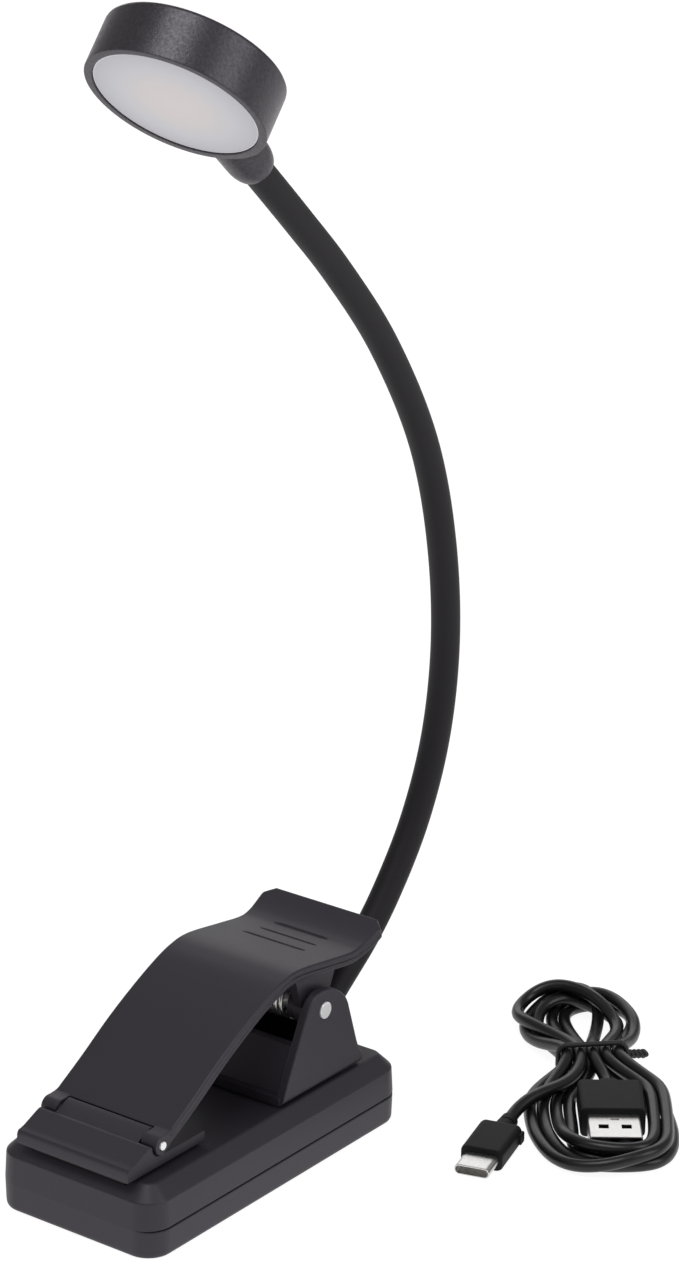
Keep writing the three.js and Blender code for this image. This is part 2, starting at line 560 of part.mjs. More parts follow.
function hankOutline() {
  const shape = new THREE.Shape();
  shape.moveTo(7.6, 0);
  shape.bezierCurveTo(8.6, 12, 12.8, 18, 12.8, 25);
  shape.bezierCurveTo(12.8, 33, 7.5, 38.2, 0, 38.2);
  shape.bezierCurveTo(-10, 38.2, -15.4, 32, -15.4, 24);
  shape.bezierCurveTo(-15.4, 16, -8.4, 9, -7.6, 0);
  shape.bezierCurveTo(-8.6, -9, -17.2, -20, -17.2, -33);
  shape.bezierCurveTo(-17.2, -45, -10, -52, -0.5, -52);
  shape.bezierCurveTo(9.5, -52, 17.6, -45, 17.6, -32);
  shape.bezierCurveTo(17.6, -20, 8.8, -9, 7.6, 0);
  const opening = new THREE.Path();
  opening.moveTo(-0.5, -14.5);
  opening.lineTo(-5, -17.6);
  opening.lineTo(-5, -42);
  opening.quadraticCurveTo(-5, -46.3, 2.8, -46.3);
  opening.quadraticCurveTo(10.6, -46.3, 10.6, -42);
  opening.lineTo(10.6, -17.6);
  opening.lineTo(6.1, -14.5);
  opening.closePath();
  shape.holes.push(opening);
  return shape;
}

function cableHank() {
  const whole = planPrism(hankOutline(), 0, HANK.height, 6);
  const lowStrands = box([-30, -41, HANK.low], [-4.5, -13, 20]); // one layer deep where the thin end crosses
  const tieGroove = box([-30, -1.6, -1], [30, 1.6, HANK.tieThickness + GAP]);
  return cut(whole, lowStrands, tieGroove);
}

function cableTie() {
  const outer = { x: 9.2, low: 0, high: HANK.height + 0.3 + HANK.tieThickness };
  const band = box([-outer.x, -1.1, outer.low], [outer.x, 1.1, outer.high]);
  const inside = box([-outer.x + 1, -3, HANK.tieThickness], [outer.x - 1, 3, HANK.height + GAP]);
  const twist = box([outer.x - 0.5, -0.9, 3.2], [outer.x + 3.6, 0.9, 5]);
  return cut(union(band, twist), inside);
}

function roundedBar(halfX, halfZ, y0, y1, radius) {
  const bar = new THREE.ExtrudeGeometry(roundedRectangle(halfX, halfZ, radius),
    { depth: y1 - y0, bevelEnabled: false, curveSegments: 2 });
  return solid(bar.rotateX(Math.PI / 2).translate(0, y1, 0));
}

part('cable_hank', cableHank(), CABLE_BLACK, cable);
part('cable_tie', cableTie(), CABLE_BLACK, cable);

// The thin end leaves the hank on its left, crosses it and comes down to its plug.
const TAIL = [[-7.6, -15.4, 5.2], [-10, -18.5, 5.2], [-14.2, -23, 5.2], [-18.2, -26.2, 4.8], [-20.5, -30.1, 3]];
part('cable_tail', solid(tube(TAIL.map((p) => new THREE.Vector3(...p)), CABLE.diameter / 2, 8, 8)),
  CABLE_BLACK, cable);

const usbA = new THREE.Group();
usbA.position.set(USB_A.x, 0, USB_A.z);
cable.add(usbA);
part('usb_a_overmold', union(
  roundedBar(USB_A.halfWidth, USB_A.halfHeight, USB_A.bottom, USB_A.top, 1.2),
  roundedBar(2.9, 2.6, USB_A.top - 1, USB_A.top + 3.2, 0.8)), BLACK_PLASTIC, usbA);
const shellEnd = USB_A.bottom - GAP;
part('usb_a_shell', cut(
  roundedBar(6, 2.25, USB_A.end, shellEnd, 0.3),
  roundedBar(5.6, 1.85, USB_A.end - 1, shellEnd - 1, 0.2),
  ...[-2.6, 2.6].map((x) => box([x - 1.1, -40.6, 1], [x + 1.1, -38.6, 4]))), STEEL, usbA);
part('usb_a_insert', box([-5.3, USB_A.end + 0.4, -1.5], [5.3, shellEnd - 1.3, 0.2]), BLACK_PLASTIC, usbA);

const usbC = new THREE.Group();
usbC.position.set(...USB_C.at);
usbC.rotation.z = -USB_C.turn;
cable.add(usbC);
const moldEnd = -USB_C.relief - USB_C.body;
part('usb_c_overmold', union(
  roundedBar(2.1, 2.1, -USB_C.relief - 1, -0.3, 2.0),
  roundedBar(5, 2.6, moldEnd, -USB_C.relief, 1.4)), BLACK_PLASTIC, usbC);
part('usb_c_plug_shell', cut(
  roundedBar(4.15, 1.25, moldEnd - GAP - USB_C.shell, moldEnd - GAP, 1.2),
  roundedBar(3.8, 0.9, moldEnd - 10, moldEnd - 1.5, 0.85)), STEEL, usbC);

export default root;
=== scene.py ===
"""Clip-on reading lamp with its charging cable. Lengths in this script are millimetres and become metres as
each mesh is made. +Z is up, -Y the jaw end of the base, and the origin the centre of the base's underside."""
import json
import math

import bmesh
import bpy
import numpy as np
from mathutils import Matrix, Vector

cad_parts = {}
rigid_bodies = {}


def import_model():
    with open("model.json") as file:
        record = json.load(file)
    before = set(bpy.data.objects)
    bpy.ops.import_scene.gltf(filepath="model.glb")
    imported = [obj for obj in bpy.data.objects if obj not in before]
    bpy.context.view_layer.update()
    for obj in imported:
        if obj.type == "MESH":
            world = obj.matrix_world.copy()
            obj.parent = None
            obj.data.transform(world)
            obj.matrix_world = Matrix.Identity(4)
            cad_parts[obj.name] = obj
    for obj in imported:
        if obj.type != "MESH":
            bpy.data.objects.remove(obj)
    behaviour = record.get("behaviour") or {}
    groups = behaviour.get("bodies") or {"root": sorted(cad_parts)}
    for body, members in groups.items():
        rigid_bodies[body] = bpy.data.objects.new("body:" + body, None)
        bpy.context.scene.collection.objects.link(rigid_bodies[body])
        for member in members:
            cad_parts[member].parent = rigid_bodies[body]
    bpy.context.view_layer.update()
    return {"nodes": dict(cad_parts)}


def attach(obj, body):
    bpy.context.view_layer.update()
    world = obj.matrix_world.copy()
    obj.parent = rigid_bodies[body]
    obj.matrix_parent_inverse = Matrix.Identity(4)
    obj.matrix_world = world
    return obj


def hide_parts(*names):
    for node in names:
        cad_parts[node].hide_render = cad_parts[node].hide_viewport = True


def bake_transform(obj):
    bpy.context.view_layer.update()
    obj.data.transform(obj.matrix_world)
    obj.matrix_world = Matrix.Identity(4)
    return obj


for leftover in list(bpy.data.objects):
    bpy.data.objects.remove(leftover)
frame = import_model()
MM = 0.001

# ---- the part's own dimensions ----

HALF_W, HALF_L, CORNER, BASE_TOP, WALL = 22.5, 45.25, 6.0, 16.5, 2.0
PARTING_LOW, PARTING_HIGH = 6.55, 6.85
PIVOT, PIVOT_R = (19.7, 35.2), 1.9
HINGE, HINGE_R, BARREL = (-34.3, 22.3), 1.0, 2.2
EAR_OUT, EAR_IN, BRACKET_FOOT, BRACKET_FLOOR = 19.0, 16.8, 16.8, 18.8
LEVER_HALF, LEVER_THICK = 16.4, 3.05
KNUCKLE = 11.7
ARM_FOOT, ARM_RISE = Vector((0, 37.5, 17)), math.radians(37)
ARM_R, ARM_BORE, CORE_R = 3.45, 2.3, 2.0
HEAD_CENTRE = Vector((0, -6, 246.15))
FACING = Vector((0.068, -0.676, -0.734)).normalized()
ARM_END = Vector((0, -0.73, 0.683))
HEAD_R, HEAD_FACE, HEAD_BACK, LENS_R = 20.0, 5.55, -6.45, 18.1
TIE_AT, ALONG = Vector((44.5, 91, 0)), Vector((-0.6, 0.8, 0))
CABLE_D = 3.0

# ---- camera ----

CAMERA_AT, LENS, SENSOR = (494.804, -615.317, 408.519), 111.14, 36
CAMERA_ANGLES = (36.688, 19.684, 0.719)  # azimuth, elevation and roll in degrees


def add_camera():
    """The camera stands in front of the jaw end, to the right, and a little above the lamp's middle."""
    azimuth, elevation, roll = (math.radians(a) for a in CAMERA_ANGLES)
    back = Vector((math.sin(azimuth) * math.cos(elevation), -math.cos(azimuth) * math.cos(elevation),
                   math.sin(elevation)))
    right = Vector((math.cos(azimuth), math.sin(azimuth), 0))
    up = back.cross(right)
    x_axis = right * math.cos(roll) + up * math.sin(roll)
    y_axis = up * math.cos(roll) - right * math.sin(roll)
    data = bpy.data.cameras.new("camera")
    data.lens, data.sensor_width = LENS, SENSOR
    data.clip_start, data.clip_end = 0.05, 50
    camera = bpy.data.objects.new("camera", data)
    bpy.context.scene.collection.objects.link(camera)
    turn = Matrix((x_axis, y_axis, back)).transposed().to_4x4()
    camera.matrix_world = Matrix.Translation(Vector(CAMERA_AT) * MM) @ turn
    bpy.context.scene.camera = camera


add_camera()

# ---- mesh helpers ----


def make(name, points, faces):
    """A mesh object from points in millimetres, with its faces turned outwards."""
    mesh = bpy.data.meshes.new(name)
    mesh.from_pydata([tuple(c * MM for c in p) for p in points], [], faces)
    work = bmesh.new()
    work.from_mesh(mesh)
    bmesh.ops.recalc_face_normals(work, faces=work.faces)
    work.to_mesh(mesh)
    work.free()
    piece = bpy.data.objects.new(name, mesh)
    bpy.context.scene.collection.objects.link(piece)
    return piece


def apply_modifiers(piece):
    graph = bpy.context.evaluated_depsgraph_get()
    done = bpy.data.meshes.new_from_object(piece.evaluated_get(graph))
    piece.modifiers.clear()
    piece.data = done
    return piece


def bevel(piece, width, segments=3, angle=30):
    edge = piece.modifiers.new("bevel", "BEVEL")
    edge.width, edge.segments = width * MM, segments
    edge.limit_method, edge.angle_limit = "ANGLE", math.radians(angle)
    return apply_modifiers(piece)


def combine(piece, how, *tools):
    for tool in tools:
        step = piece.modifiers.new("combine", "BOOLEAN")
        step.operation, step.solver, step.object = how, "EXACT", tool
        apply_modifiers(piece)
        bpy.data.objects.remove(tool)
    return piece


def smooth(piece, angle=35):
    """Smooth shading that keeps edges sharper than angle, and flat faces flat."""
    piece.data.shade_smooth()
    piece.data.set_sharp_from_angle(angle=math.radians(angle))
    weights = piece.modifiers.new("normals", "WEIGHTED_NORMAL")
    weights.keep_sharp = True
    return apply_modifiers(piece)


def loft(name, rings, closed=False):
    """Skins rings that have the same number of points; the first and last are filled unless it is closed."""
    n = len(rings[0])
    points = [p for ring in rings for p in ring]
    pairs = [(k, k + 1) for k in range(len(rings) - 1)] + ([(len(rings) - 1, 0)] if closed else [])
    faces = [(a * n + i, a * n + (i + 1) % n, b * n + (i + 1) % n, b * n + i)
             for a, b in pairs for i in range(n)]
    if not closed:
        faces += [tuple(range(n)), tuple(range(len(points) - n, len(points)))]
    return make(name, points, faces)


def prism(name, outline, low, high, axis):
    """An outline pushed along an axis. On x it is (y, z), on y it is (x, z), and on z it is (x, y)."""
    order = {"x": (2, 0, 1), "y": (0, 2, 1), "z": (0, 1, 2)}[axis]
    return loft(name, [[tuple((a, b, c)[k] for k in order) for a, b in outline] for c in (low, high)])


def block(name, low, high):
    (x0, y0, z0), (x1, y1, z1) = low, high
    return prism(name, [(x0, y0), (x1, y0), (x1, y1), (x0, y1)], z0, z1, "z")


def arc(centre, radius, start, end, steps):
    """Points on a circle, from one angle in degrees to another."""
    angles = [math.radians(start + (end - start) * i / steps) for i in range(steps + 1)]
    return [(centre[0] + radius * math.cos(a), centre[1] + radius * math.sin(a)) for a in angles]


def rounded(half_x, half_y, radius, steps=8, centre=(0, 0)):
    cx, cy = centre
    x, y = half_x - radius, half_y - radius
    return (arc((cx + x, cy + y), radius, 0, 90, steps) + arc((cx - x, cy + y), radius, 90, 180, steps)
            + arc((cx - x, cy - y), radius, 180, 270, steps) + arc((cx + x, cy - y), radius, 270, 360,
                                                                   steps))


def ring(centre, side, other, radius, sides):
    angles = [2 * math.pi * i / sides for i in range(sides)]
    return [tuple(centre + side * radius * math.cos(a) + other * radius * math.sin(a)) for a in angles]


def lathe(name, profile, origin, axis, sides=32, closed=False):
    """A profile of (radius, height) turned about an axis."""
    up = Vector(axis).normalized()
    side = up.orthogonal().normalized()
    other = up.cross(side)
    rings = [ring(Vector(origin) + up * height, side, other, max(radius, 0.01), sides)
             for radius, height in profile]
    return loft(name, rings, closed)


def rod(name, radius, start, end, sides=32, edge=0.0):
    """A round bar whose ends are rounded off by edge."""
    length = (Vector(end) - Vector(start)).length
    profile = [(radius, 0), (radius, length)]
    if edge:
        profile = ([(radius - edge, 0), (radius - edge * 0.3, edge * 0.3), (radius, edge),
                    (radius, length - edge),
                    (radius - edge * 0.3, length - edge * 0.3), (radius - edge, length)])
    return lathe(name, profile, start, Vector(end) - Vector(start), sides)


def swept_rings(points, radii, sides):
    """Rings round a line of points, turned as little as possible from one to the next."""
    points = [Vector(p) for p in points]
    tangents = [(points[min(i + 1, len(points) - 1)] - points[max(i - 1, 0)]).normalized()
                for i in range(len(points))]
    side = tangents[0].orthogonal().normalized()
    rings = []
    for point, tangent, radius in zip(points, tangents, radii):
        side = (side - tangent * side.dot(tangent)).normalized()
        rings.append(ring(point, side, tangent.cross(side), radius, sides))
    return rings


def tube(name, points, radius, sides=12):
    radii = radius if hasattr(radius, "__len__") else [radius] * len(points)
    return loft(name, swept_rings(points, radii, sides))


def hermite(p1, p2, v1, v2, t):
    return ((2 * p1 - 2 * p2 + v1 + v2) * t ** 3 + (-3 * p1 + 3 * p2 - 2 * v1 - v2) * t ** 2 + v1 * t + p1)


def through(points, steps, centripetal=False):
    """A smooth line through points, with the same number of steps between each two."""
    points = [np.array(p, float) for p in points]
    if centripetal:
        ends = [2 * points[0] - points[1]] + points + [2 * points[-1] - points[-2]]
    else:
        ends = [points[0]] + points + [points[-1]]
    line = []
    for p0, p1, p2, p3 in zip(ends, ends[1:], ends[2:], ends[3:]):
        v1, v2 = (p2 - p0) / 2, (p3 - p1) / 2
        if centripetal:
            d0, d1, d2 = (math.sqrt(np.linalg.norm(b - a)) for a, b in ((p0, p1), (p1, p2), (p2, p3)))
            v1 = ((p1 - p0) / d0 - (p2 - p0) / (d0 + d1) + (p2 - p1) / d1) * d1
            v2 = ((p2 - p1) / d1 - (p3 - p1) / (d1 + d2) + (p3 - p2) / d2) * d1
        line += [hermite(p1, p2, v1, v2, i / steps) for i in range(steps)]
    return np.array(line + [points[-1]])


def at_distances(line, distances):
    """Points on a line at given distances along it."""
    along = np.concatenate([[0], np.cumsum(np.linalg.norm(np.diff(line, axis=0), axis=1))])
    return np.stack([np.interp(distances, along, line[:, c]) for c in range(3)], axis=1)


def line_length(line):
    return float(np.linalg.norm(np.diff(line, axis=0), axis=1).sum())


# ---- materials ----


LOOKS = {}


def tree_of(owner):
    return owner.node_tree.nodes, owner.node_tree.links


def moulded(name, colour, roughness, spread=0.06, mottle=0.12, patch=60, grain=2600, depth=0.012,
            **constant):
    """A surface whose colour and roughness drift in broad patches and whose grain is depth millimetres high.
    constant holds values for the shader's own sockets, with _ for each space."""
    material = bpy.data.materials.new(name)
    material.use_nodes = True
    nodes, links = tree_of(material)
    shader = nodes["Principled BSDF"]
    for socket, value in constant.items():
        shader.inputs[socket.replace("_", " ")].default_value = value
    coords = nodes.new("ShaderNodeTexCoord")

    def noise(scale, detail, rough=0.5):
        texture = nodes.new("ShaderNodeTexNoise")
        texture.inputs["Scale"].default_value = scale
        texture.inputs["Detail"].default_value = detail
        texture.inputs["Roughness"].default_value = rough
        links.new(coords.outputs["Object"], texture.inputs["Vector"])
        return texture.outputs["Fac"]

    broad, fine = noise(patch, 3), noise(grain, 2, 0.6)
    tint = nodes.new("ShaderNodeMix")
    tint.data_type = "RGBA"
    tint.inputs["A"].default_value = (*(c * (1 - mottle) for c in colour), 1)
    tint.inputs["B"].default_value = (*(min(1, c * (1 + mottle)) for c in colour), 1)
    links.new(broad, tint.inputs["Factor"])
    links.new(tint.outputs["Result"], shader.inputs["Base Color"])
    sheen = nodes.new("ShaderNodeMapRange")
    sheen.inputs["To Min"].default_value = roughness - spread
    sheen.inputs["To Max"].default_value = roughness + spread
    links.new(fine, sheen.inputs["Value"])
    links.new(sheen.outputs["Result"], shader.inputs["Roughness"])
    bump = nodes.new("ShaderNodeBump")
    bump.inputs["Strength"].default_value = 1
    bump.inputs["Distance"].default_value = depth * MM
    links.new(fine, bump.inputs["Height"])
    links.new(bump.outputs["Normal"], shader.inputs["Normal"])
    LOOKS[name] = material
    return material


def stretched(material, scale):
    """Draws a material's noise out along an axis, as on brushed or drawn metal."""
    nodes, links = tree_of(material)
    coords = next(n for n in nodes if n.type == "TEX_COORD")
    mapping = nodes.new("ShaderNodeMapping")
    mapping.inputs["Scale"].default_value = scale
    for link in [l for l in links if l.from_node == coords]:
        target = link.to_socket
        links.remove(link)
        links.new(mapping.outputs["Vector"], target)
    links.new(coords.outputs["Object"], mapping.inputs["Vector"])
    return material


def paint_lens_shading(material, centre, radius, tones):
    """Paints shade and highlight into a material's colour as rings about a centre; tones are (place from the
    edge, colour).
    """
    nodes, links = tree_of(material)
    coords = next(n for n in nodes if n.type == "TEX_COORD")
    mapping, rings, ramp = (nodes.new(f"ShaderNode{kind}") for kind in ("Mapping", "TexGradient",
                                                                        "ValToRGB"))
    mapping.inputs["Scale"].default_value = [1 / (radius * MM)] * 3
    mapping.inputs["Location"].default_value = [-c / radius for c in centre]
    rings.gradient_type = "SPHERICAL"
    links.new(coords.outputs["Object"], mapping.inputs["Vector"])
    links.new(mapping.outputs["Vector"], rings.inputs["Vector"])
    links.new(rings.outputs["Fac"], ramp.inputs["Fac"])
    while len(ramp.color_ramp.elements) < len(tones):
        ramp.color_ramp.elements.new(0.5)
    for element, (at, colour) in zip(ramp.color_ramp.elements, tones):
        element.position, element.color = at, (*colour, 1)
    links.new(ramp.outputs["Color"], nodes["Principled BSDF"].inputs["Base Color"])


moulded("black_plastic", (0.0195, 0.0165, 0.0235), 0.5, grain=3200, depth=0.009,
        Specular_Tint=(0.98, 0.93, 1, 1))
moulded("button_plastic", (0.028, 0.027, 0.03), 0.38, grain=1800, depth=0.003)
moulded("plug_overmold", (0.004, 0.0037, 0.0042), 0.6, grain=2600, depth=0.016, Specular_IOR_Level=0.22)
moulded("plug_insert", (0.012, 0.012, 0.013), 0.45, depth=0.003)
moulded("grip_rubber", (0.016, 0.016, 0.016), 0.82, grain=2000, depth=0.02)
moulded("arm_rubber", (0.0065, 0.0057, 0.007), 0.6, grain=2400, depth=0.01, Specular_IOR_Level=0.33,
        Specular_Tint=(1, 0.95, 1, 1))
moulded("cable_jacket", (0.0065, 0.006, 0.0068), 0.34, spread=0.05, grain=900, depth=0.008,
        Specular_IOR_Level=0.42)
moulded("cable_tie", (0.012, 0.012, 0.012), 0.55, grain=1500, depth=0.02)
moulded("head_paint", (0.049, 0.0455, 0.0525), 0.37, spread=0.16, mottle=0.55, patch=1500, grain=1700,
        depth=0.045, Metallic=0.5, Specular_Tint=(0.99, 0.94, 1, 1))
moulded("diffuser", (0.52, 0.515, 0.55), 0.55, spread=0.03, mottle=0.02, grain=2600, depth=0.004)
moulded("reflector_white", (0.8, 0.8, 0.79), 0.5, mottle=0.03, depth=0.004)
moulded("led_board_white", (0.78, 0.78, 0.76), 0.45, mottle=0.04, depth=0.004)
moulded("heat_spreader_metal", (0.56, 0.57, 0.58), 0.42, Metallic=1.0, depth=0.006)
moulded("pin_steel", (0.93, 0.93, 0.94), 0.34, mottle=0.02, spread=0.03, grain=1500, depth=0.001,
        Metallic=0.6)
moulded("spring_steel", (0.74, 0.72, 0.7), 0.3, mottle=0.1, depth=0.003, Metallic=1.0)
moulded("hardware_steel", (0.5, 0.5, 0.51), 0.34, mottle=0.1, depth=0.004, Metallic=1.0)
moulded("port_steel", (0.6, 0.6, 0.61), 0.3, depth=0.003, Metallic=1.0)
moulded("gooseneck_steel", (0.45, 0.45, 0.46), 0.38, depth=0.006, Metallic=1.0)
stretched(moulded("plug_steel", (0.66, 0.645, 0.635), 0.3, spread=0.08, mottle=0.06, patch=200, grain=1600,
                  depth=0.002, Metallic=1.0), (1, 1, 6))
moulded("switch_plastic", (0.05, 0.05, 0.05), 0.5, depth=0.004)
moulded("light_pipe", (0.68, 0.7, 0.72), 0.3, mottle=0.03, depth=0.002, Transmission_Weight=0.4)
moulded("circuit_board", (0.02, 0.11, 0.045), 0.42, mottle=0.3, patch=400, depth=0.01)
moulded("battery_pouch", (0.5, 0.51, 0.53), 0.36, mottle=0.08, depth=0.03, grain=700, Metallic=0.7)
# Painted shade and highlight on the lens: a painted highlight ring at its very edge, painted shade just
# inside the rim, and colour painted lighter and warmer towards the middle.
paint_lens_shading(LOOKS["diffuser"], HEAD_CENTRE + FACING * HEAD_FACE, LENS_R + 0.5, [
    (0.027, (0.8, 0.79, 0.82)), (0.05, (0.5, 0.495, 0.53)), (0.3, (0.575, 0.57, 0.605)),
    (0.62, (0.65, 0.61, 0.61)), (1.0, (0.68, 0.618, 0.618))])


def dress(piece, look):
    piece.data.materials.clear()
    piece.data.materials.append(LOOKS[look])


def place(piece, body, look, *nodes, angle=35):
    """Finishes a rigid piece: its shading, material and body, and the CAD nodes that it stands for."""
    smooth(piece, angle)
    dress(piece, look)
    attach(piece, body)
    if nodes:
        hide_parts(*nodes)
    return piece


# ---- charging cable ----

# The cable's own frame: x across the hank, y along it, z up, with its origin under the tie.
ACROSS = Vector((ALONG.y, -ALONG.x, 0))
CABLE_FRAME = Matrix((ACROSS, ALONG, (0, 0, 1))).transposed().to_4x4()
CABLE_FRAME.translation = TIE_AT

PLUG_A = dict(x=2.8, z=3.75, relief=-14.8, top=-18.0, bottom=-33.5, end=-44.8, half=7.45)
PLUG_C = dict(at=Vector((-20.6, -30.5, 2.75)), turn=0.3575, relief=6.0, body=14.6, shell=6.4)
TIE_LOW, TIE_HIGH = 2.55, 5.62  # heights of the two layers of strands inside the tie
CABLE_STEP, MIN_BEND, SETTLING_ROUNDS = 1.6, 8.0, 420

# Each wind goes up through the tie, over the top to the left, down through the tie and round the bottom.
TOP_LOOPS = [  # place of the right leg, place of the left leg, lean, half width, reach, height
    ((0.0, TIE_HIGH), (-6.0, TIE_HIGH), -7.0, 9.2, 33.2, 8.5),
    ((6.0, TIE_LOW), (0.0, TIE_LOW), 3.0, 6.4, 36.4, 1.6),
    ((3.0, TIE_LOW), (-6.0, TIE_LOW), -6.2, 8.6, 32.6, 6.2),
    ((6.0, TIE_HIGH), (-3.0, TIE_LOW), 1.3, 8.0, 36.6, 4.0),
    ((3.0, TIE_HIGH), (-3.0, TIE_HIGH), -7.4, 9.4, 33.6, 11.5),
]
BOTTOM_LOOPS = [  # how far it goes left, right and down, and its height on the right
    (12.7, 16.0, -50.2, 1.6), (6.9, 13.0, -47.4, 1.6), (15.7, 16.2, -50.5, 4.7), (9.8, 13.1, -47.6, 4.7)]


def drop_loop(start, finish, lean, left, right, reach, height_of, steps, first_side):
    """A drop-shaped loop that leaves the tie and comes back to it."""
    points = []
    for i in range(steps):
        a = 2 * math.pi * i / steps
        side = first_side * math.sin(a) * math.sin(a / 2) / 0.77
        rise = (1 - math.cos(a)) / 2
        near = (1 - rise) ** 2
        slot = start if i < steps / 2 else finish
        points.append((slot[0] * near + lean * rise + side * (right if side > 0 else left), reach * rise,
                       slot[1] * near + height_of(a) * (1 - near)))
    return points


def rough_cable():
    """The cable's route before it settles, from the large plug to the small one."""
    a = PLUG_A
    route = [(a["x"], a["relief"] - 2, a["z"]), (a["x"], a["relief"], a["z"]), (2.75, -12.3, 3.9),
             (2.2, -8.5, 4.5), (1.0, -4.0, 5.4)]
    for k, (right, left, lean, half, reach, height) in enumerate(TOP_LOOPS):
        route += drop_loop(right, left, lean, half, half, reach, lambda _, h=height: h, 40, 1)
        if k < len(BOTTOM_LOOPS):
            far_left, far_right, depth, end_height = BOTTOM_LOOPS[k]

            def climb(angle, top=end_height):
                t = min(1.0, max(0.0, (angle / math.pi - 0.8) / 0.5))
                return 1.6 + (top - 1.6) * t * t * (3 - 2 * t)
            route += drop_loop(left, TOP_LOOPS[k + 1][0], 0, far_left, far_right, depth, climb, 46, -1)
    plug = PLUG_C["at"]
    way = Vector((-math.sin(PLUG_C["turn"]), -math.cos(PLUG_C["turn"]), 0))
    route += [(-3.0, 0.0, TIE_HIGH), (-3.6, -4.5, 6.4), (-5.2, -10.0, 6.2), (-7.8, -15.6, 5.4),
              (-11.8, -20.2, 5.0), (-16.4, -24.2, 4.9), (-19.3, -27.4, 4.2),
              tuple(plug - way * 0.6), tuple(plug + way * 2)]
    return np.array(route)


def spread_apart(p, first, second, distance, free):
    """Pushes pairs of points to at least a distance from each other."""
    apart = p[second] - p[first]
    size = np.maximum(np.linalg.norm(apart, axis=1), 1e-6)
    short = np.maximum(distance - size, 0)
    push = apart * (0.5 * short / size)[:, None]
    total, count, hit = np.zeros_like(p), np.zeros(len(p)), short > 0
    np.add.at(total, first, -push)
    np.add.at(total, second, push)
    np.add.at(count, first[hit], 1)
    np.add.at(count, second[hit], 1)
    p += total / np.maximum(count, 1)[:, None] * 1.3 * free[:, None]


def keep_off(p, low, high, free):
    """Pushes points sideways where they are nearer to an upright block than the cable's radius."""
    reach = CABLE_D / 2 + 0.05
    flat = p[:, :2]
    away = flat - np.clip(flat, low, high)
    gap = np.linalg.norm(away, axis=1)
    near = (gap > 1e-9) & (gap < reach) & (free > 0)
    flat[near] += away[near] * (reach / gap[near] - 1)[:, None]
    for i in np.nonzero((gap <= 1e-9) & (free > 0))[0]:
        sides = [flat[i, 0] - low[0], high[0] - flat[i, 0], flat[i, 1] - low[1], high[1] - flat[i, 1]]
        k = int(np.argmin(sides))
        flat[i, k // 2] = high[k // 2] + reach if k % 2 else low[k // 2] - reach


def settle_cable(p):
    """Lets the route sink under gravity, at a constant length, with its strands a diameter apart."""
    n, radius = len(p), CABLE_D / 2
    step = line_length(p) / (n - 1)
    free = np.ones(n)
    crossings = [i for i in range(2, n - 2) if (p[i, 1] <= 0) != (p[i + 1, 1] <= 0)]
    slots = [slot for loop in TOP_LOOPS for slot in loop[:2]]
    for i, (x, z) in zip(crossings, slots):
        nearest = i if abs(p[i, 1]) < abs(p[i + 1, 1]) else i + 1
        p[nearest] = (x, p[nearest, 1], z)
        free[nearest] = 0
    free[:3], free[-3:] = 0, 0
    off_plug = free.copy()
    off_plug[:12] = 0
    x, half = PLUG_A["x"], PLUG_A["half"]
    blocks = [((x - 2.9, PLUG_A["top"]), (x + 2.9, PLUG_A["relief"])),
              ((x - half, PLUG_A["bottom"]), (x + half, PLUG_A["top"])),
              ((x - 6, PLUG_A["end"]), (x + 6, PLUG_A["bottom"]))]
    index = np.arange(n - 1)
    every_first, every_second = np.triu_indices(n, 6)
    reach = int(round(10 / step))
    chord = 2 * MIN_BEND * math.sin(reach * step / 2 / MIN_BEND)
    for turn in range(SETTLING_ROUNDS):
        if turn < SETTLING_ROUNDS * 0.75:
            p[:, 2] -= 0.05 * free
        if turn % 6 == 0:
            apart = p[every_second] - p[every_first]
            near = np.einsum("ij,ij->i", apart, apart) < (CABLE_D + 1.8) ** 2
            first, second = every_first[near], every_second[near]
        for _ in range(6):
            bend = (p[:-2] + p[2:]) / 2 - p[1:-1]
            p[1:-1] += 0.3 * bend * free[1:-1, None]
            p[:-2] -= 0.15 * bend * free[:-2, None]
            p[2:] -= 0.15 * bend * free[2:, None]
            for half_of in (0, 1):
                a = index[half_of::2]
                b = a + 1
                apart = p[b] - p[a]
                size = np.linalg.norm(apart, axis=1)
                share = np.maximum(free[a] + free[b], 1)
                move = apart * ((size - step) / size / share)[:, None]
                p[a] += move * free[a, None]
                p[b] -= move * free[b, None]
            spread_apart(p, index[:1 - reach], index[:1 - reach] + reach, chord, free)
            spread_apart(p, first, second, CABLE_D + 0.08, free)
            for low, high in blocks:
                keep_off(p, np.array(low), np.array(high), off_plug)
            p[:, 2] = np.where(free > 0, np.maximum(p[:, 2], radius + 0.02), p[:, 2])
    return p


def in_cable_frame(points):
    return [tuple(CABLE_FRAME @ Vector(p)) for p in points]


def add_cable():
    rough = rough_cable()
    count = int(round(line_length(rough) / CABLE_STEP))
    route = settle_cable(at_distances(rough, np.linspace(0, line_length(rough), count + 1)))
    fine = through(route, 2)
    points = in_cable_frame(fine)
    cable = tube("charging_cable", points, CABLE_D / 2, 14)
    place(cable, "base", "cable_jacket", "cable_hank", "cable_tail", angle=60)
    return cable, points


cable, cable_points = add_cable()


def way_of_plug(distance, x=0.0, z=0.0):
    """A point in the small plug's own frame: distance from its cable end, x across it and z up."""
    turn = PLUG_C["turn"]
    along, side = Vector((-math.sin(turn), -math.cos(turn), 0)), Vector((math.cos(turn), -math.sin(turn),
                                                                         0))
    return PLUG_C["at"] + along * distance + side * x + Vector((0, 0, z))


def moulded_bar(name, to_point, sections, corner_steps=6):
    """A bar of rounded-rectangle sections; each is (distance, half width, half height, corner radius)."""
    rings = []
    for distance, half_x, half_z, radius in sections:
        rings.append([tuple(CABLE_FRAME @ to_point(distance, x, z))
                      for x, z in rounded(half_x, half_z, radius, corner_steps)])
    return loft(name, rings)


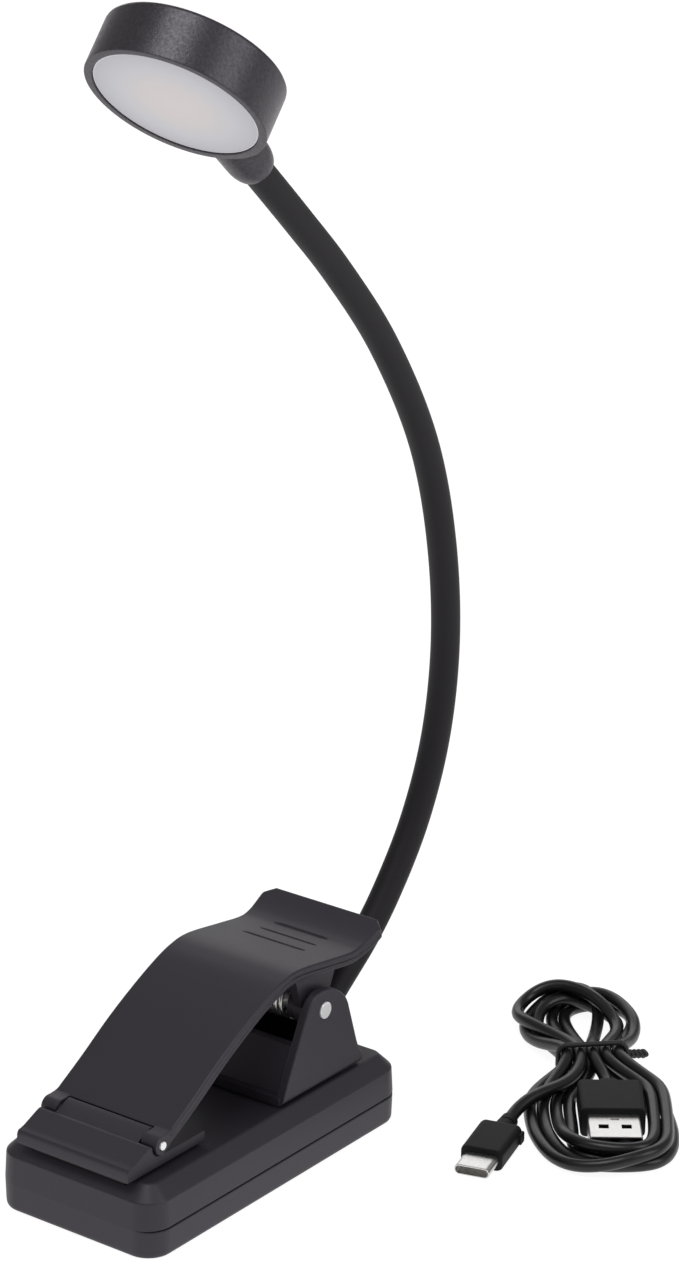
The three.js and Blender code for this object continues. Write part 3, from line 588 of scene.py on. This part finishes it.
def way_of_large_plug(distance, x=0.0, z=0.0):
    return Vector((PLUG_A["x"] + x, PLUG_A["relief"] - distance, PLUG_A["z"] + z))


def add_large_plug():
    """USB-A plug: overmould with a strain relief, folded steel shell with two windows, and its insert."""
    to_point, neck, tail, mouth = way_of_large_plug, 3.2, 18.7, 30.0
    relief = moulded_bar("usb_a_relief", to_point, [
        (0, 2.2, 2.0, 1.5), (0.12, 2.5, 2.25, 1.4), (0.5, 2.62, 2.4, 1.3), (1.75, 2.66, 2.42, 1.3),
        (1.8, 2.35, 2.15, 1.2), (2.2, 2.35, 2.15, 1.2), (2.25, 2.8, 2.5, 1.2), (neck + 0.6, 2.9, 2.6, 1.2)])
    body = moulded_bar("usb_a_overmold_detail", to_point, [
        (neck, 6.6, 3.0, 1.0), (neck + 0.12, 7.05, 3.35, 1.1), (neck + 0.45, 7.35, 3.6, 1.2),
        (neck + 0.9, 7.45, 3.7, 1.3), (tail - 0.5, 7.45, 3.7, 1.3), (tail - 0.15, 7.3, 3.55, 1.25),
        (tail, 7.05, 3.3, 1.1)])
    place(combine(body, "UNION", relief), "base", "plug_overmold", "usb_a_overmold")
    shell = moulded_bar("usb_a_shell_detail", to_point, [
        (tail + 0.05, 6, 2.25, 0.55), (mouth - 0.25, 6, 2.25, 0.55), (mouth, 5.9, 2.15, 0.5)])
    cavity = moulded_bar("cavity", to_point, [(tail + 1, 5.6, 1.85, 0.4), (mouth + 1, 5.6, 1.85, 0.4)])
    tools = [cavity]
    for x in (-2.6, 2.6):
        tools.append(moulded_bar("window", lambda d, a, b, x=x: to_point(24.8 + a, x + b, 2 + d), [
            (-1, 1.0, 1.15, 0.15), (1.5, 1.0, 1.15, 0.15)], 3))
    tools.append(moulded_bar("dimple", lambda d, a, b: to_point(21.3 + a, b, 2.05 + d), [
        (0, 0.42, 1.1, 0.4), (0.5, 0.42, 1.1, 0.4)], 5))
    seam = moulded_bar("seam", lambda d, a, b: to_point(24.5 + a, b, -2.3 + d), [
        (-0.3, 5.2, 0.06, 0.03), (0.6, 5.2, 0.06, 0.03)], 2)
    place(combine(shell, "DIFFERENCE", *tools, seam), "base", "plug_steel", "usb_a_shell")
    insert = moulded_bar("usb_a_insert_detail", to_point, [
        (tail + 1.5, 5.2, 0.6, 0.2), (mouth - 0.5, 5.2, 0.6, 0.2), (mouth - 0.4, 5.1, 0.5, 0.15)])
    insert.data.transform(Matrix.Translation((0, 0, -0.85 * MM)))
    place(insert, "base", "plug_insert", "usb_a_insert")


def add_small_plug():
    """USB-C plug: overmould with a moulded tab at its shoulder, and its oval steel shell."""
    to_point, neck, tail = way_of_plug, PLUG_C["relief"], PLUG_C["relief"] + PLUG_C["body"]
    relief = moulded_bar("usb_c_relief", to_point, [
        (0, 1.75, 1.75, 1.7), (0.3, 2.0, 2.0, 1.9), (2.8, 2.1, 2.1, 1.9), (2.9, 1.8, 1.8, 1.7),
        (3.3, 1.8, 1.8, 1.7), (3.4, 2.15, 2.15, 1.9), (neck + 0.5, 2.35, 2.2, 1.9)])
    body = moulded_bar("usb_c_overmold_detail", to_point, [
        (neck, 4.2, 1.8, 1.3), (neck + 0.15, 4.65, 2.25, 1.4), (neck + 0.5, 4.9, 2.5, 1.45),
        (neck + 1.1, 5, 2.6, 1.5), (tail - 0.6, 5, 2.6, 1.5), (tail - 0.15, 4.85, 2.45, 1.4),
        (tail, 4.6, 2.2, 1.3)])
    tab = moulded_bar("tab", lambda d, a, b: to_point(neck + 1.6 + a, 4.7 + d, b), [
        (-0.6, 1.25, 1.3, 0.3), (0.75, 1.25, 1.3, 0.3), (0.9, 1.1, 1.15, 0.3)], 3)
    place(combine(body, "UNION", relief, tab), "base", "plug_overmold", "usb_c_overmold")
    end = tail + PLUG_C["shell"]
    shell = moulded_bar("usb_c_shell_detail", to_point, [
        (tail + 0.05, 4.15, 1.25, 1.24), (end + 0.1, 4.15, 1.25, 1.24), (end + 0.3, 4.05, 1.15, 1.14)], 10)
    cavity = moulded_bar("cavity", to_point, [(tail + 1.5, 3.85, 0.95, 0.94), (end + 1, 3.85, 0.95, 0.94)],
                         10)
    place(combine(shell, "DIFFERENCE", cavity), "base", "plug_steel", "usb_c_plug_shell")


def add_tie():
    """A twist tie: one wire round the waist of the hank, its two ends twisted together on the right."""
    wire, half, low, high = 0.62, 8.12, 0.64, 7.75
    loop = rounded(half, (high - low) / 2, 2.3, 7, (0, (high + low) / 2))
    split = 3
    loop = loop[split:] + loop[:split]
    path = [(x, 0.14 * x - 0.9 * (z > 4) * math.cos(x / half * 1.4), z) for x, z in loop]
    start, finish = path[0], path[-1]
    twist_from, twist_to = Vector((8.6, 1.1, 4.5)), Vector((13.0, 2.3, 4.1))
    ends = []
    for phase in (0, math.pi):
        turns = [i / 22 for i in range(23)]
        ends.append([tuple(twist_from.lerp(twist_to, t) + Vector((
            0, math.cos(phase + t * 13) * wire * 0.85,
            math.sin(phase + t * 13) * wire * 0.85))) for t in turns])
    first, second = ends
    path = list(reversed(first)) + path + second
    line = through(path, 3)
    tie = tube("cable_tie_wire", in_cable_frame(line), wire, 10)
    place(tie, "base", "cable_tie", "cable_tie", angle=60)
    return tie


add_large_plug()
add_small_plug()
tie = add_tie()

# ---- base ----


def base_rings(profile, shut=0.0):
    """Rounded rings from (inset, height) pairs. The line between the two shells closes along the front, where
    the edges beside it lose their inset and rise by shut."""
    rings = []
    for inset, z in profile:
        beside = inset < 0.3 and abs(z - PARTING_LOW) < 0.7
        ring = []
        for (x, y), (full_x, full_y) in zip(*(rounded(HALF_W - d, HALF_L - d, max(CORNER - d, 1.6), 9)
                                              for d in (inset, 0.0))):
            front = min(1.0, max(0.0, (21.3 - x) / 4)) if beside and y < -38 else 0.0
            ring.append((x + (full_x - x) * front, y + (full_y - y) * front, z + shut * front))
        rings.append(ring)
    return rings


def oval_outline(oval, gap):
    half_x, half_z = oval["half_x"] + gap, oval["half_z"] + gap
    return rounded(half_x, half_z, half_z - 0.02, 9, (oval["x"], oval["z"]))


def on_foot_axis(distance):
    return ARM_FOOT + Vector((0, math.cos(ARM_RISE), math.sin(ARM_RISE))) * distance


PORT = dict(x=-9.0, z=6.1, half_x=4.47, half_z=1.58)
BUTTON = dict(x=9.0, z=9.9, half_x=4.5, half_z=2.2)
BASE_SCREWS = [(-17.2, -39.2), (17.2, -39.2), (-17.2, 39.2), (17.2, 39.2)]
BRACKET_SCREWS = [(-9, 16), (9, 16)]
INDICATOR = (1.2, 9.9)
REAR_CUT = (42, 47)  # from inside the rear wall to outside it
PAD_HALF, PAD_FROM, PAD_TO = 13, -43, -21.5


def rear_hole(name, oval, gap):
    """A cutter for an oval hole through the rear wall, wider than its fitting by gap."""
    return prism(name, oval_outline(oval, gap), *REAR_CUT, "y")


def pad_pocket(low, high):
    """The recess that a grip pad sits in, between two heights."""
    return block("pocket", (-13.3, -43.3, low), (13.3, -21.2, high))


def add_base():
    lower = loft("base_lower_detail", base_rings([
        (1.5, 0), (0.95, 0.08), (0.5, 0.32), (0.25, 0.75), (0.15, 1.4), (0.0, 6.2), (0.05, 6.42),
        (0.2, PARTING_LOW),
        (WALL, PARTING_LOW), (WALL, WALL)], PARTING_HIGH - PARTING_LOW - 0.02))
    bosses = [rod("boss", 3.1, (x, y, WALL - 0.4), (x, y, 5), 24) for x, y in BASE_SCREWS]
    holes = [rod("hole", 1.4, (x, y, -1), (x, y, 6), 20) for x, y in BASE_SCREWS]
    holes += [rod("seat", 2.5, (x, y, -1), (x, y, 2.1), 28) for x, y in BASE_SCREWS]
    combine(lower, "UNION", *bosses)
    combine(lower, "DIFFERENCE", *holes, rear_hole("port", PORT, 0.25))
    place(lower, "base", "black_plastic", "base_lower_shell")

    upper = loft("base_upper_detail", base_rings([
        (WALL, 14.5), (WALL, PARTING_HIGH), (0.2, PARTING_HIGH), (0.05, 6.98), (0.0, 7.2), (0.32, 13.0),
        (0.4, 13.22),
        (0.58, 13.46), (3.2, 16.08), (3.42, 16.27), (3.72, 16.42), (4.2, BASE_TOP)]))
    combine(upper, "DIFFERENCE", pad_pocket(15.3, 18), rear_hole("port", PORT, 0.25),
            rear_hole("button", BUTTON, 0.2),
            rod("indicator", 1.15, *((INDICATOR[0], y, INDICATOR[1]) for y in REAR_CUT), 24),
            rod("socket", 4.95, on_foot_axis(-12), on_foot_axis(14), 48))
    place(upper, "base", "black_plastic", "base_upper_shell")


def ribbed_pad(name, low, high, ribs_up, body, node):
    """A rubber pad with ribs across it, on its upper or its lower side."""
    y0, y1, depth = PAD_FROM, PAD_TO, 0.32
    count = int((y1 - y0) / 1.55)
    pitch = (y1 - y0) / count
    face, back = (high, low) if ribs_up else (low, high)
    dip = -depth if ribs_up else depth
    outline = [(y0, back), (y0, face + dip)]
    for k in range(count):
        at = y0 + k * pitch
        outline += [(at + 0.2, face + dip), (at + 0.42, face), (at + pitch - 0.42, face),
                    (at + pitch - 0.2, face + dip)]
    outline += [(y1, face + dip), (y1, back)]
    place(prism(name, outline, -PAD_HALF, PAD_HALF, "x"), body, "grip_rubber", node, angle=25)


def screw(name, at, head_low, head_high, shank_end, node):
    """A pan-head screw with a cross recess; the head's flat side is at head_low."""
    x, y = at
    up = 1 if head_high > head_low else -1
    axis, length = (0, 0, up), abs(head_high - head_low)
    head = lathe(name, [(0, 0), (2.1, 0), (2.2, 0.1), (2.2, length - 0.75), (2.05, length - 0.4),
                        (1.7, length - 0.15),
                        (1.1, length - 0.02), (0, length)], (x, y, head_low), axis, 32)
    shank = rod("shank", 1.1, (x, y, head_low + up * 0.3), (x, y, shank_end), 16)
    bottom, top = sorted((head_high - up * 0.7, head_high + up * 0.2))
    cross = [block("slot", (x - a, y - b, bottom), (x + a, y + b, top)) for a,
             b in ((1.25, 0.3), (0.3, 1.25))]
    combine(head, "UNION", shank)
    place(combine(head, "DIFFERENCE", *cross), "base", "hardware_steel", node)


def add_base_fittings():
    ribbed_pad("base_grip_ribs", 15.6, 16.5, True, "base", "base_grip_pad")
    for k, at in enumerate(BASE_SCREWS):
        screw(f"base_screw_detail_{k + 1}", at, 1.8, 0.5, 11.5, f"base_screw_{k + 1}")
    for k, at in enumerate(BRACKET_SCREWS):
        screw(f"bracket_screw_detail_{k + 1}", at, 19.1, 20.4, 10.0, f"bracket_screw_{k + 1}")

    def crowned(oval, sections, name):
        rings = [[(x, y, z) for x, z in oval_outline(oval, -inset)] for inset, y in sections]
        return loft(name, rings)

    button = crowned(BUTTON, [(-0.9, 42.1), (-0.9, 42.9), (0, 42.9), (0, 45.55), (0.12, 45.8), (0.4, 45.97),
                              (0.9, 46.04), (1.5, 46.05)], "power_button_detail")
    groove = prism("groove", oval_outline(dict(BUTTON, half_x=2.1, half_z=0.28), 0), 45.8, 46.5, "y")
    place(combine(button, "DIFFERENCE", groove), "power_button", "button_plastic", "power_button")
    port = crowned(PORT, [(0, 38), (0, 44.95), (0.06, 45.1), (0.3, 45.1), (0.3, 39.2)], "usb_c_port_detail")
    tongue = block("tongue", (PORT["x"] - 3.3, 38.6, PORT["z"] - 0.35),
                   (PORT["x"] + 3.3, 44.0, PORT["z"] + 0.35))
    place(combine(port, "UNION", tongue), "base", "port_steel", "usb_c_port")
    x, z = INDICATOR
    pipe = lathe("charge_indicator_detail", [(0, 0), (1.8, 0), (1.8, 1.4), (1.0, 1.4), (1.0, 3.9),
                                             (0.85, 4.1),
                                             (0.5, 4.22), (0, 4.25)], (x, 41.2, z), (0, 1, 0), 32)
    place(pipe, "base", "light_pipe", "charge_indicator")


add_base()
add_base_fittings()

# ---- clamp ----


def bezier(p0, p1, p2, p3, steps):
    points = []
    for i in range(1, steps + 1):
        t = i / steps
        weights = ((1 - t) ** 3, 3 * t * (1 - t) ** 2, 3 * t * t * (1 - t), t ** 3)
        points.append(tuple(sum(w * p[c] for w, p in zip(weights, (p0, p1, p2, p3))) for c in (0, 1)))
    return points


def add_bracket():
    """The bracket on the base: a floor and two ears that hold the pivot pin."""
    ear = [(4.3, BRACKET_FOOT), (6.7, 22.9), (12.4, 34.6)]
    ear += bezier(ear[-1], (14.2, 38.4), (16, 40.2), (18.6, 40.1), 12)
    ear += bezier(ear[-1], (23, 40), (27, 37.6), (28.6, 33.7), 12) + [(31.6, 24.4)]
    ear += bezier(ear[-1], (32.3, 22.1), (33.1, 20.4), (34.3, 19.3), 5) + [(34.3, BRACKET_FOOT)]
    bracket = block("pivot_bracket_detail", (-18, 4.3, BRACKET_FOOT), (18, 28.5, BRACKET_FLOOR))
    sides = [bevel(prism("ear", ear, *span, "x"), 0.4) for span in ((EAR_IN, EAR_OUT), (-EAR_OUT, -EAR_IN))]
    wall = prism("wall", [(5.3, BRACKET_FOOT), (7.7, 22.9), (10.6, 29), (12.6, 29), (9.7, 22.9),
                          (7.3, BRACKET_FOOT)],
                 -17.3, 17.3, "x")
    back = bevel(block("wall", (-17.3, 28.3, 18.6), (17.3, 30.2, 29.2)), 0.3)
    combine(bracket, "UNION", wall, back, *sides)
    r = 1.8
    rounding = ([(-EAR_OUT, 50)] + arc((-EAR_OUT + r, BRACKET_FOOT + r), r, 180, 270, 8)
                + arc((EAR_OUT - r, BRACKET_FOOT + r), r, 270, 360, 8) + [(EAR_OUT, 50)])
    combine(bracket, "INTERSECT", prism("envelope", rounding, -10, 50, "y"))
    holes = [rod("hole", PIVOT_R + 0.22, (-25, *PIVOT), (25, *PIVOT), 48)]
    holes += [rod("hole", 1.4, (x, y, 10), (x, y, 30), 20) for x, y in BRACKET_SCREWS]
    place(combine(bracket, "DIFFERENCE", *holes), "base", "black_plastic", "pivot_bracket")
    pin = rod("pivot_pin_detail", PIVOT_R + 0.07, (-19.35, *PIVOT), (19.35, *PIVOT), 48, 0.2)
    place(pin, "base", "pin_steel", "pivot_pin")


LEVER_TOP = [(-31.6, 24.5), (-22.8, 29.7), (-14, 35.3), (-6, 39.7), (2, 43.5), (8, 45.6), (14.2, 46.3),
             (25.4, 44.8), (33, 43.75), (36.8, 44.05), (40.3, 45.2), (44.7, 47.3)]
LEVER_END, CORNER_CUT = 44.7, 2.15
TAIL_FROM, TAIL_HALF = 35.0, 17.0  # the plate widens a little to its rear end
FLANGE_IN, FLANGE_OUT = 13.6, 15.8
BOSS_R, BOSS_FROM, INTO_FLANGE = 4.0, 11.3, 14.1  # the bosses and the rib end just inside the flanges
SPRING_END, NOTCH_R = (18.6, 31.6), 0.8  # the notch in the boss that holds the spring's end
GROOVES = [(35.4, 8.0), (30.6, 8.4), (25.3, 9.2)]  # place along the lever and half length
GROOVE_R, GROOVE_LIFT = 0.6, 0.24  # a groove's section, and its centre's height over the plate
HINGE_BORE = HINGE_R + 0.15


def lever_section(half, top, normal, inset=0.0):
    """A section across the lever's plate, with soft edges and a fine groove along each side."""
    side = [(0.62, 0.0), (0.34, 0.06), (0.14, 0.2), (0.03, 0.42), (0.0, 0.62), (0.0, 1.3), (0.06, 1.4),
            (0.65, 1.44),
            (0.65, 1.7), (0.38, 1.76), (0.28, 1.92), (0.28, 2.65), (0.4, 2.9), (0.72, LEVER_THICK)]
    points = [(half - d, min(max(t, inset), LEVER_THICK - inset)) for d, t in side]
    points += [(-x, t) for x, t in reversed(points)]
    return [(x, top[0] - normal[0] * t, top[1] - normal[1] * t) for x, t in points]


def lever_plate():
    line = through([(y, z, 0) for y, z in LEVER_TOP], 14)[:, :2]
    tangents = np.gradient(line, axis=0)
    tangents /= np.linalg.norm(tangents, axis=1)[:, None]
    rings = []
    for (y, z), (ty, tz) in zip(line, tangents):
        d = y - (LEVER_END - 0.8 * CORNER_CUT)  # where the rear corners start to be cut off
        cut = 1.25 * (0.0 if d < -0.3 else d if d > 0.3 else (d + 0.3) ** 2 / 1.2)
        flare = min(max((y - TAIL_FROM) / (LEVER_END - CORNER_CUT - TAIL_FROM), 0), 1)
        half = LEVER_HALF + (TAIL_HALF - LEVER_HALF) * flare * flare * (3 - 2 * flare)
        rings.append(lever_section(half - cut, (y, z), (-tz, ty)))
    (y, z), (ty, tz) = line[-1], tangents[-1]
    for out, inset in ((0.18, 0.1), (0.32, 0.3), (0.4, 0.6)):
        rings.append(lever_section(TAIL_HALF - CORNER_CUT - inset, (y + ty * out, z + tz * out), (-tz, ty),
                                   inset))
    (y, z), (ty, tz) = line[0], tangents[0]
    rings.insert(0, lever_section(LEVER_HALF, (y - ty * 0.12, z - tz * 0.12), (-tz, ty), 0.12))
    return loft("clamp_lever_detail", rings), line, tangents


def add_lever():
    """The lever: a curved plate, flanges on the pivot, knuckles on the jaw's pin and three thumb grooves."""
    lever, line, tangents = lever_plate()
    flange = [(12.8, 44), (15.2, 36.4)] + arc(PIVOT, 4.6, 165.6, 369, 22) + [(25.4, 37), (28, 43)]
    spans = ((FLANGE_IN, FLANGE_OUT), (-FLANGE_OUT, -FLANGE_IN))
    parts = [bevel(prism("flange", flange, *span, "x"), 0.25, 2) for span in spans]
    parts += [rod("boss", BOSS_R, (end * BOSS_FROM, *PIVOT), (end * INTO_FLANGE, *PIVOT), 40) for end in (1,
                                                                                                          -1)]
    knuckle = (arc(HINGE, BARREL, 88, 300, 22)
               + [(-31.4, 21.6), (-28.6, 23.6), (-27.2, 26.0), (-30.2, 25.0), (-31.7, 24.62),
                  (-33.0, 24.5)])
    for span in ((KNUCKLE + 0.3, LEVER_HALF - 0.1), (-LEVER_HALF + 0.1, -KNUCKLE - 0.3)):
        parts.append(bevel(prism("knuckle", knuckle, *span, "x"), 0.2, 2, 40))
    rib = block("rib", (-INTO_FLANGE, 26.4, 30.5), (INTO_FLANGE, 27.7, 43.2))
    combine(lever, "UNION", rib, *parts)
    tools = [rod("pin", PIVOT_R + 0.25, (-25, *PIVOT), (25, *PIVOT), 40),
             rod("pin", HINGE_BORE, (-25, *HINGE), (25, *HINGE), 24),
             rod("notch", NOTCH_R, (10.8, *SPRING_END), (13.0, *SPRING_END), 24)]
    for at, half in GROOVES:
        k = int(np.argmin(abs(line[:, 0] - at)))
        (y, z), (ty, tz) = line[k], tangents[k]
        centre = (y - tz * GROOVE_LIFT, z + ty * GROOVE_LIFT)
        ends = [(half, 0.02), (half - 0.2, 0.28), (half - 0.7, 0.45), (half - 1.4, 0.56),
                (half - 2.2, GROOVE_R)]
        profile = [(r, -x) for x, r in ends] + [(r, x) for x, r in reversed(ends)]
        tools.append(lathe("groove", profile, (0, *centre), (1, 0, 0), 20))
    place(combine(lever, "DIFFERENCE", *tools), "lever", "black_plastic", "clamp_lever")
    pin = rod("jaw_hinge_pin_detail", HINGE_R, (-16.7, *HINGE), (16.7, *HINGE), 32, 0.18)
    place(pin, "lever", "pin_steel", "jaw_hinge_pin")


def add_jaw():
    """The jaw: a plate with a stepped, sloping front, and a web that fills the space between the knuckles."""
    seat = arc(HINGE, BARREL + 0.32, 172, 270, 12)
    plate = ([(-45.2, 17.3), (-45.2, 19.5), (-44.75, 20.35), (-43.9, 20.5), (-42.9, 20.75), (-38.2, 22.8),
              (-37.5, 22.95)] + seat + [(-19, 19.78), (-19, 17.3)])
    web = ([(-37.6, 18.5), (-38.2, 22.3), (-36.9, 22.85), (-35.6, 23.42), (-34.3, 23.98),
            (-33.1, 24.4)] + arc(HINGE, 3.04, 47, -30, 12) + [(-31.9, 18.5)])
    jaw = bevel(prism("jaw_plate_detail", plate, -15.7, 15.7, "x"), 0.22, 2)
    middle = bevel(prism("web", web, -KNUCKLE, KNUCKLE, "x"), 0.2, 2, 40)
    combine(jaw, "UNION", middle)
    combine(jaw, "DIFFERENCE", pad_pocket(16, 18.2), rod("pin", HINGE_BORE, (-25, *HINGE), (25, *HINGE),
                                                         24))
    place(jaw, "jaw", "black_plastic", "jaw_plate")
    ribbed_pad("jaw_grip_ribs", 16.8, 17.9, False, "jaw", "jaw_grip_pad")


def add_spring():
    """The torsion spring: a coil on the pivot pin, one leg on the bracket, one end in the lever's notch."""
    coil, wire, half, turns, per_turn = 4.0, 0.5, 9.6, 13, 24
    points = [(-half, 10.8, 19.7), (-half, 12.4, 25.0), (-half, 14.2, 30.6)]
    steps = turns * per_turn
    for i in range(1, steps + 1):
        a = math.pi + i / per_turn * 2 * math.pi
        points.append((-half + 2 * half * i / steps, PIVOT[0] + coil * math.cos(a),
                       PIVOT[1] + coil * math.sin(a)))
    points += [(9.7, 15.9, 34.0), (9.8, 16.2, 33.4), (9.9, 17, 32.3), (10.3, 18.1, 31.6),
               (11.2, 18.5, 31.5),
               (12.5, *SPRING_END)]
    spring = tube("torsion_spring_detail", through(points, 2), wire, 12)
    smooth(spring, 60)
    dress(spring, "spring_steel")
    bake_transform(spring)
    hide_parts("torsion_spring")


add_bracket()
add_lever()
add_jaw()
add_spring()

# ---- arm ----

ARM_START, SLEEVE_START, SOCKET_MOUTH, COLLAR_REACH = -14.0, -6.5, 9.0, 7.5
ARM_POINTS = ([on_foot_axis(ARM_START), ARM_FOOT] + [Vector((0, y, z)) for y, z in (
    (51, 26.9), (60.2, 33.9), (68.5, 42.2), (79.2, 56.8), (87, 75.1), (90.3, 97.6), (88.1, 122.8),
    (80.3, 148.9),
    (64.1, 175.9), (46.2, 196.6), (32.1, 210.4))]
    + [HEAD_CENTRE - ARM_END * (HEAD_R + 4.5)])


def add_socket():
    """The flared socket that holds the arm's foot."""
    socket = lathe("arm_socket_detail", [
        (3.6, -7), (4.85, -7), (4.85, 6.6), (4.81, 7.6), (4.65, 8.3), (4.35, 8.8), (4.0, 9), (3.75, 8.9),
        (3.6, 8.4)],
        ARM_FOOT, on_foot_axis(1) - ARM_FOOT, 48, closed=True)
    plate = block("plate", (-7.5, 29, 12.7), (7.5, 41.1, 14.2))
    combine(plate, "DIFFERENCE", rod("bore", 4.5, on_foot_axis(-20), on_foot_axis(20), 48))
    place(combine(socket, "UNION", plate), "base", "black_plastic", "arm_socket")


def arm_piece(name, line, start, end, outer, bore, sides):
    """A stretch of the arm, hollow if it has a bore."""
    steps = max(4, int((end - start) / 0.9))
    points = at_distances(line, np.linspace(start, end, steps + 1))
    rings = swept_rings(points, [outer] * len(points), sides)
    if not bore:
        return loft(name, rings)
    return loft(name, rings + swept_rings(points, [bore] * len(points), sides)[::-1], closed=True)


def add_arm():
    """The gooseneck: a sleeve on a wound core, in pieces that each span a place where two of the arm's bodies
    meet.
    """
    line = through(ARM_POINTS, 60, centripetal=True)
    total = line_length(line)
    spacing = (total - COLLAR_REACH - (SOCKET_MOUTH - ARM_START)) / 7
    breaks = [SOCKET_MOUTH - ARM_START + (k + 0.5) * spacing for k in range(7)]
    middles = [(a + b) / 2 for a, b in zip(breaks, breaks[1:])]
    for k, at in enumerate(breaks):
        end = middles[k] if k < 6 else total
        first = middles[k - 1] if k else 0.0
        covers = [k + 1] + ([8] if k == 6 else [])
        sleeve_from = max(first, SLEEVE_START - ARM_START)
        for look, part, outer, bore, start, sides in (
                ("arm_rubber", "sleeve", ARM_R, ARM_BORE, sleeve_from, 36),
                ("gooseneck_steel", "core", CORE_R, 0, first, 16)):
            piece = arm_piece(f"gooseneck_{part}_bend_{k + 1}", line, start, end, outer, bore, sides)
            smooth(piece, 60)
            dress(piece, look)
            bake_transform(piece)
            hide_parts(*(f"gooseneck_{part}_{n}" for n in covers))


add_socket()
add_arm()

# ---- head ----

HEAD_WALL, RIM_IN, RECESS_R, RECESS_DEPTH = 1.6, 18.36, 18.18, 1.9
COLLAR_R, COLLAR_LENGTH, COLLAR_BORE = 5.15, 12, 3.6
HEAD_SIDE = (-ARM_END).cross(FACING).normalized()
TOWARDS_ARM = FACING.cross(HEAD_SIDE)


def on_head(x, y, z):
    """A point in the head's own frame: y towards the arm and z out of the light's face."""
    return HEAD_CENTRE + HEAD_SIDE * x + TOWARDS_ARM * y + FACING * z


def add_head():
    """The head: a shallow drum with a flat rim, a collar that grips the arm, and the frosted lens."""
    r, front, back = HEAD_R, HEAD_FACE, HEAD_BACK
    housing = lathe("head_housing_detail", [
        (0, back), (r - 1.5, back), (r - 0.85, back + 0.06), (r - 0.4, back + 0.25), (r - 0.1, back + 0.6),
        (r, back + 1.1), (r, front - 0.3), (r - 0.06, front - 0.1), (r - 0.25, front), (RIM_IN, front),
        (18.22, front - 0.12), (RECESS_R, front - 0.4), (RECESS_R, front - RECESS_DEPTH),
        (17.9, front - RECESS_DEPTH), (17.9, back + HEAD_WALL), (0, back + HEAD_WALL)], HEAD_CENTRE, FACING,
                    128)
    combine(housing, "DIFFERENCE", rod("bore", 3.5, on_head(0, 15, 0), on_head(0, 25, 0), 32))
    place(housing, "head", "head_paint", "head_housing", angle=40)

    end = r + COLLAR_LENGTH
    collar = lathe("head_collar_detail", [
        (0, r - 1.6), (COLLAR_R, r - 1.6), (COLLAR_R, end - 4.8), (5.11, end - 3.6), (4.97, end - 2.4),
        (4.7, end - 1.2),
        (4.4, end - 0.35), (4.22, end - 0.06), (4.05, end), (3.77, end - 0.05), (3.65, end - 0.4),
        (COLLAR_BORE, end - 6),
        (COLLAR_BORE, end - 8), (0, end - 8)], HEAD_CENTRE, TOWARDS_ARM, 64)
    trim = rod("trim", r + 0.04, on_head(0, 0, -9), on_head(0, 0, 9), 128)
    place(combine(collar, "DIFFERENCE", trim), "head", "head_paint", "head_collar", angle=50)

    profile = [(0, front - 1.8), (LENS_R, front - 1.8), (LENS_R, front - 0.42),
               (LENS_R - 0.08, front - 0.32),
               (LENS_R - 0.3, front - 0.28)]
    profile += [(LENS_R * (1 - k / 12), front - 0.28 + 0.1 * math.sin(k / 12 * math.pi / 2))
                for k in range(1, 13)]
    place(lathe("diffuser_lens_detail", profile, HEAD_CENTRE, FACING, 96), "head", "diffuser",
          "diffuser_lens")


add_head()

# ---- what stays from the CAD ----

for node, look in {
        "battery_cell": "battery_pouch", "main_circuit_board": "circuit_board",
        "tact_switch": "switch_plastic",
        "arm_lock_nut": "hardware_steel", "heat_spreader": "heat_spreader_metal",
        "led_board": "led_board_white",
        "reflector_ring": "reflector_white"}.items():
    dress(frame["nodes"][node], look)

# ---- floor and light ----


def add_stage():
    half = 30000
    floor = make("floor", [(-half, -half, 0), (half, -half, 0), (half, half, 0), (-half, half, 0)],
                 [(0, 1, 2, 3)])
    paper = moulded("paper_white", (0.15, 0.15, 0.15), 0.9, mottle=0.004, patch=3, grain=400, depth=0.0,
                    Emission_Color=(1, 1, 1, 1), Emission_Strength=0.93)
    floor.data.materials.append(paper)

    world = bpy.data.worlds.new("studio")
    world.use_nodes = True
    nodes, links = tree_of(world)
    ray, strength = nodes.new("ShaderNodeLightPath"), nodes.new("ShaderNodeMix")
    strength.inputs["A"].default_value, strength.inputs["B"].default_value = 0.3, 1.0
    links.new(ray.outputs["Is Camera Ray"], strength.inputs["Factor"])
    links.new(strength.outputs["Result"], nodes["Background"].inputs["Strength"])
    nodes["Background"].inputs["Color"].default_value = (1, 1, 1, 1)
    bpy.context.scene.world = world

    def soft_light(name, at, target, size, power):
        data = bpy.data.lights.new(name, "AREA")
        data.shape, data.size, data.size_y, data.energy = "RECTANGLE", *size, power
        light = bpy.data.objects.new(name, data)
        bpy.context.scene.collection.objects.link(light)
        light.location = at
        light.rotation_mode = "QUATERNION"
        light.rotation_quaternion = (Vector(target) - Vector(at)).to_track_quat("-Z", "Y")

    soft_light("overhead", (0.15, -0.57, 1.63), (0, 0, 0.24), (0.9, 0.6), 10)
    soft_light("right", (1.04, 0.26, 0.79), (0, 0, 0.24), (0.5, 0.8), 3.8)
    soft_light("behind", (-0.79, 1.0, 0.62), (0, 0, 0.05), (1.3, 0.7), 3.4)


add_stage()
bpy.context.scene.view_settings.view_transform = "Standard"
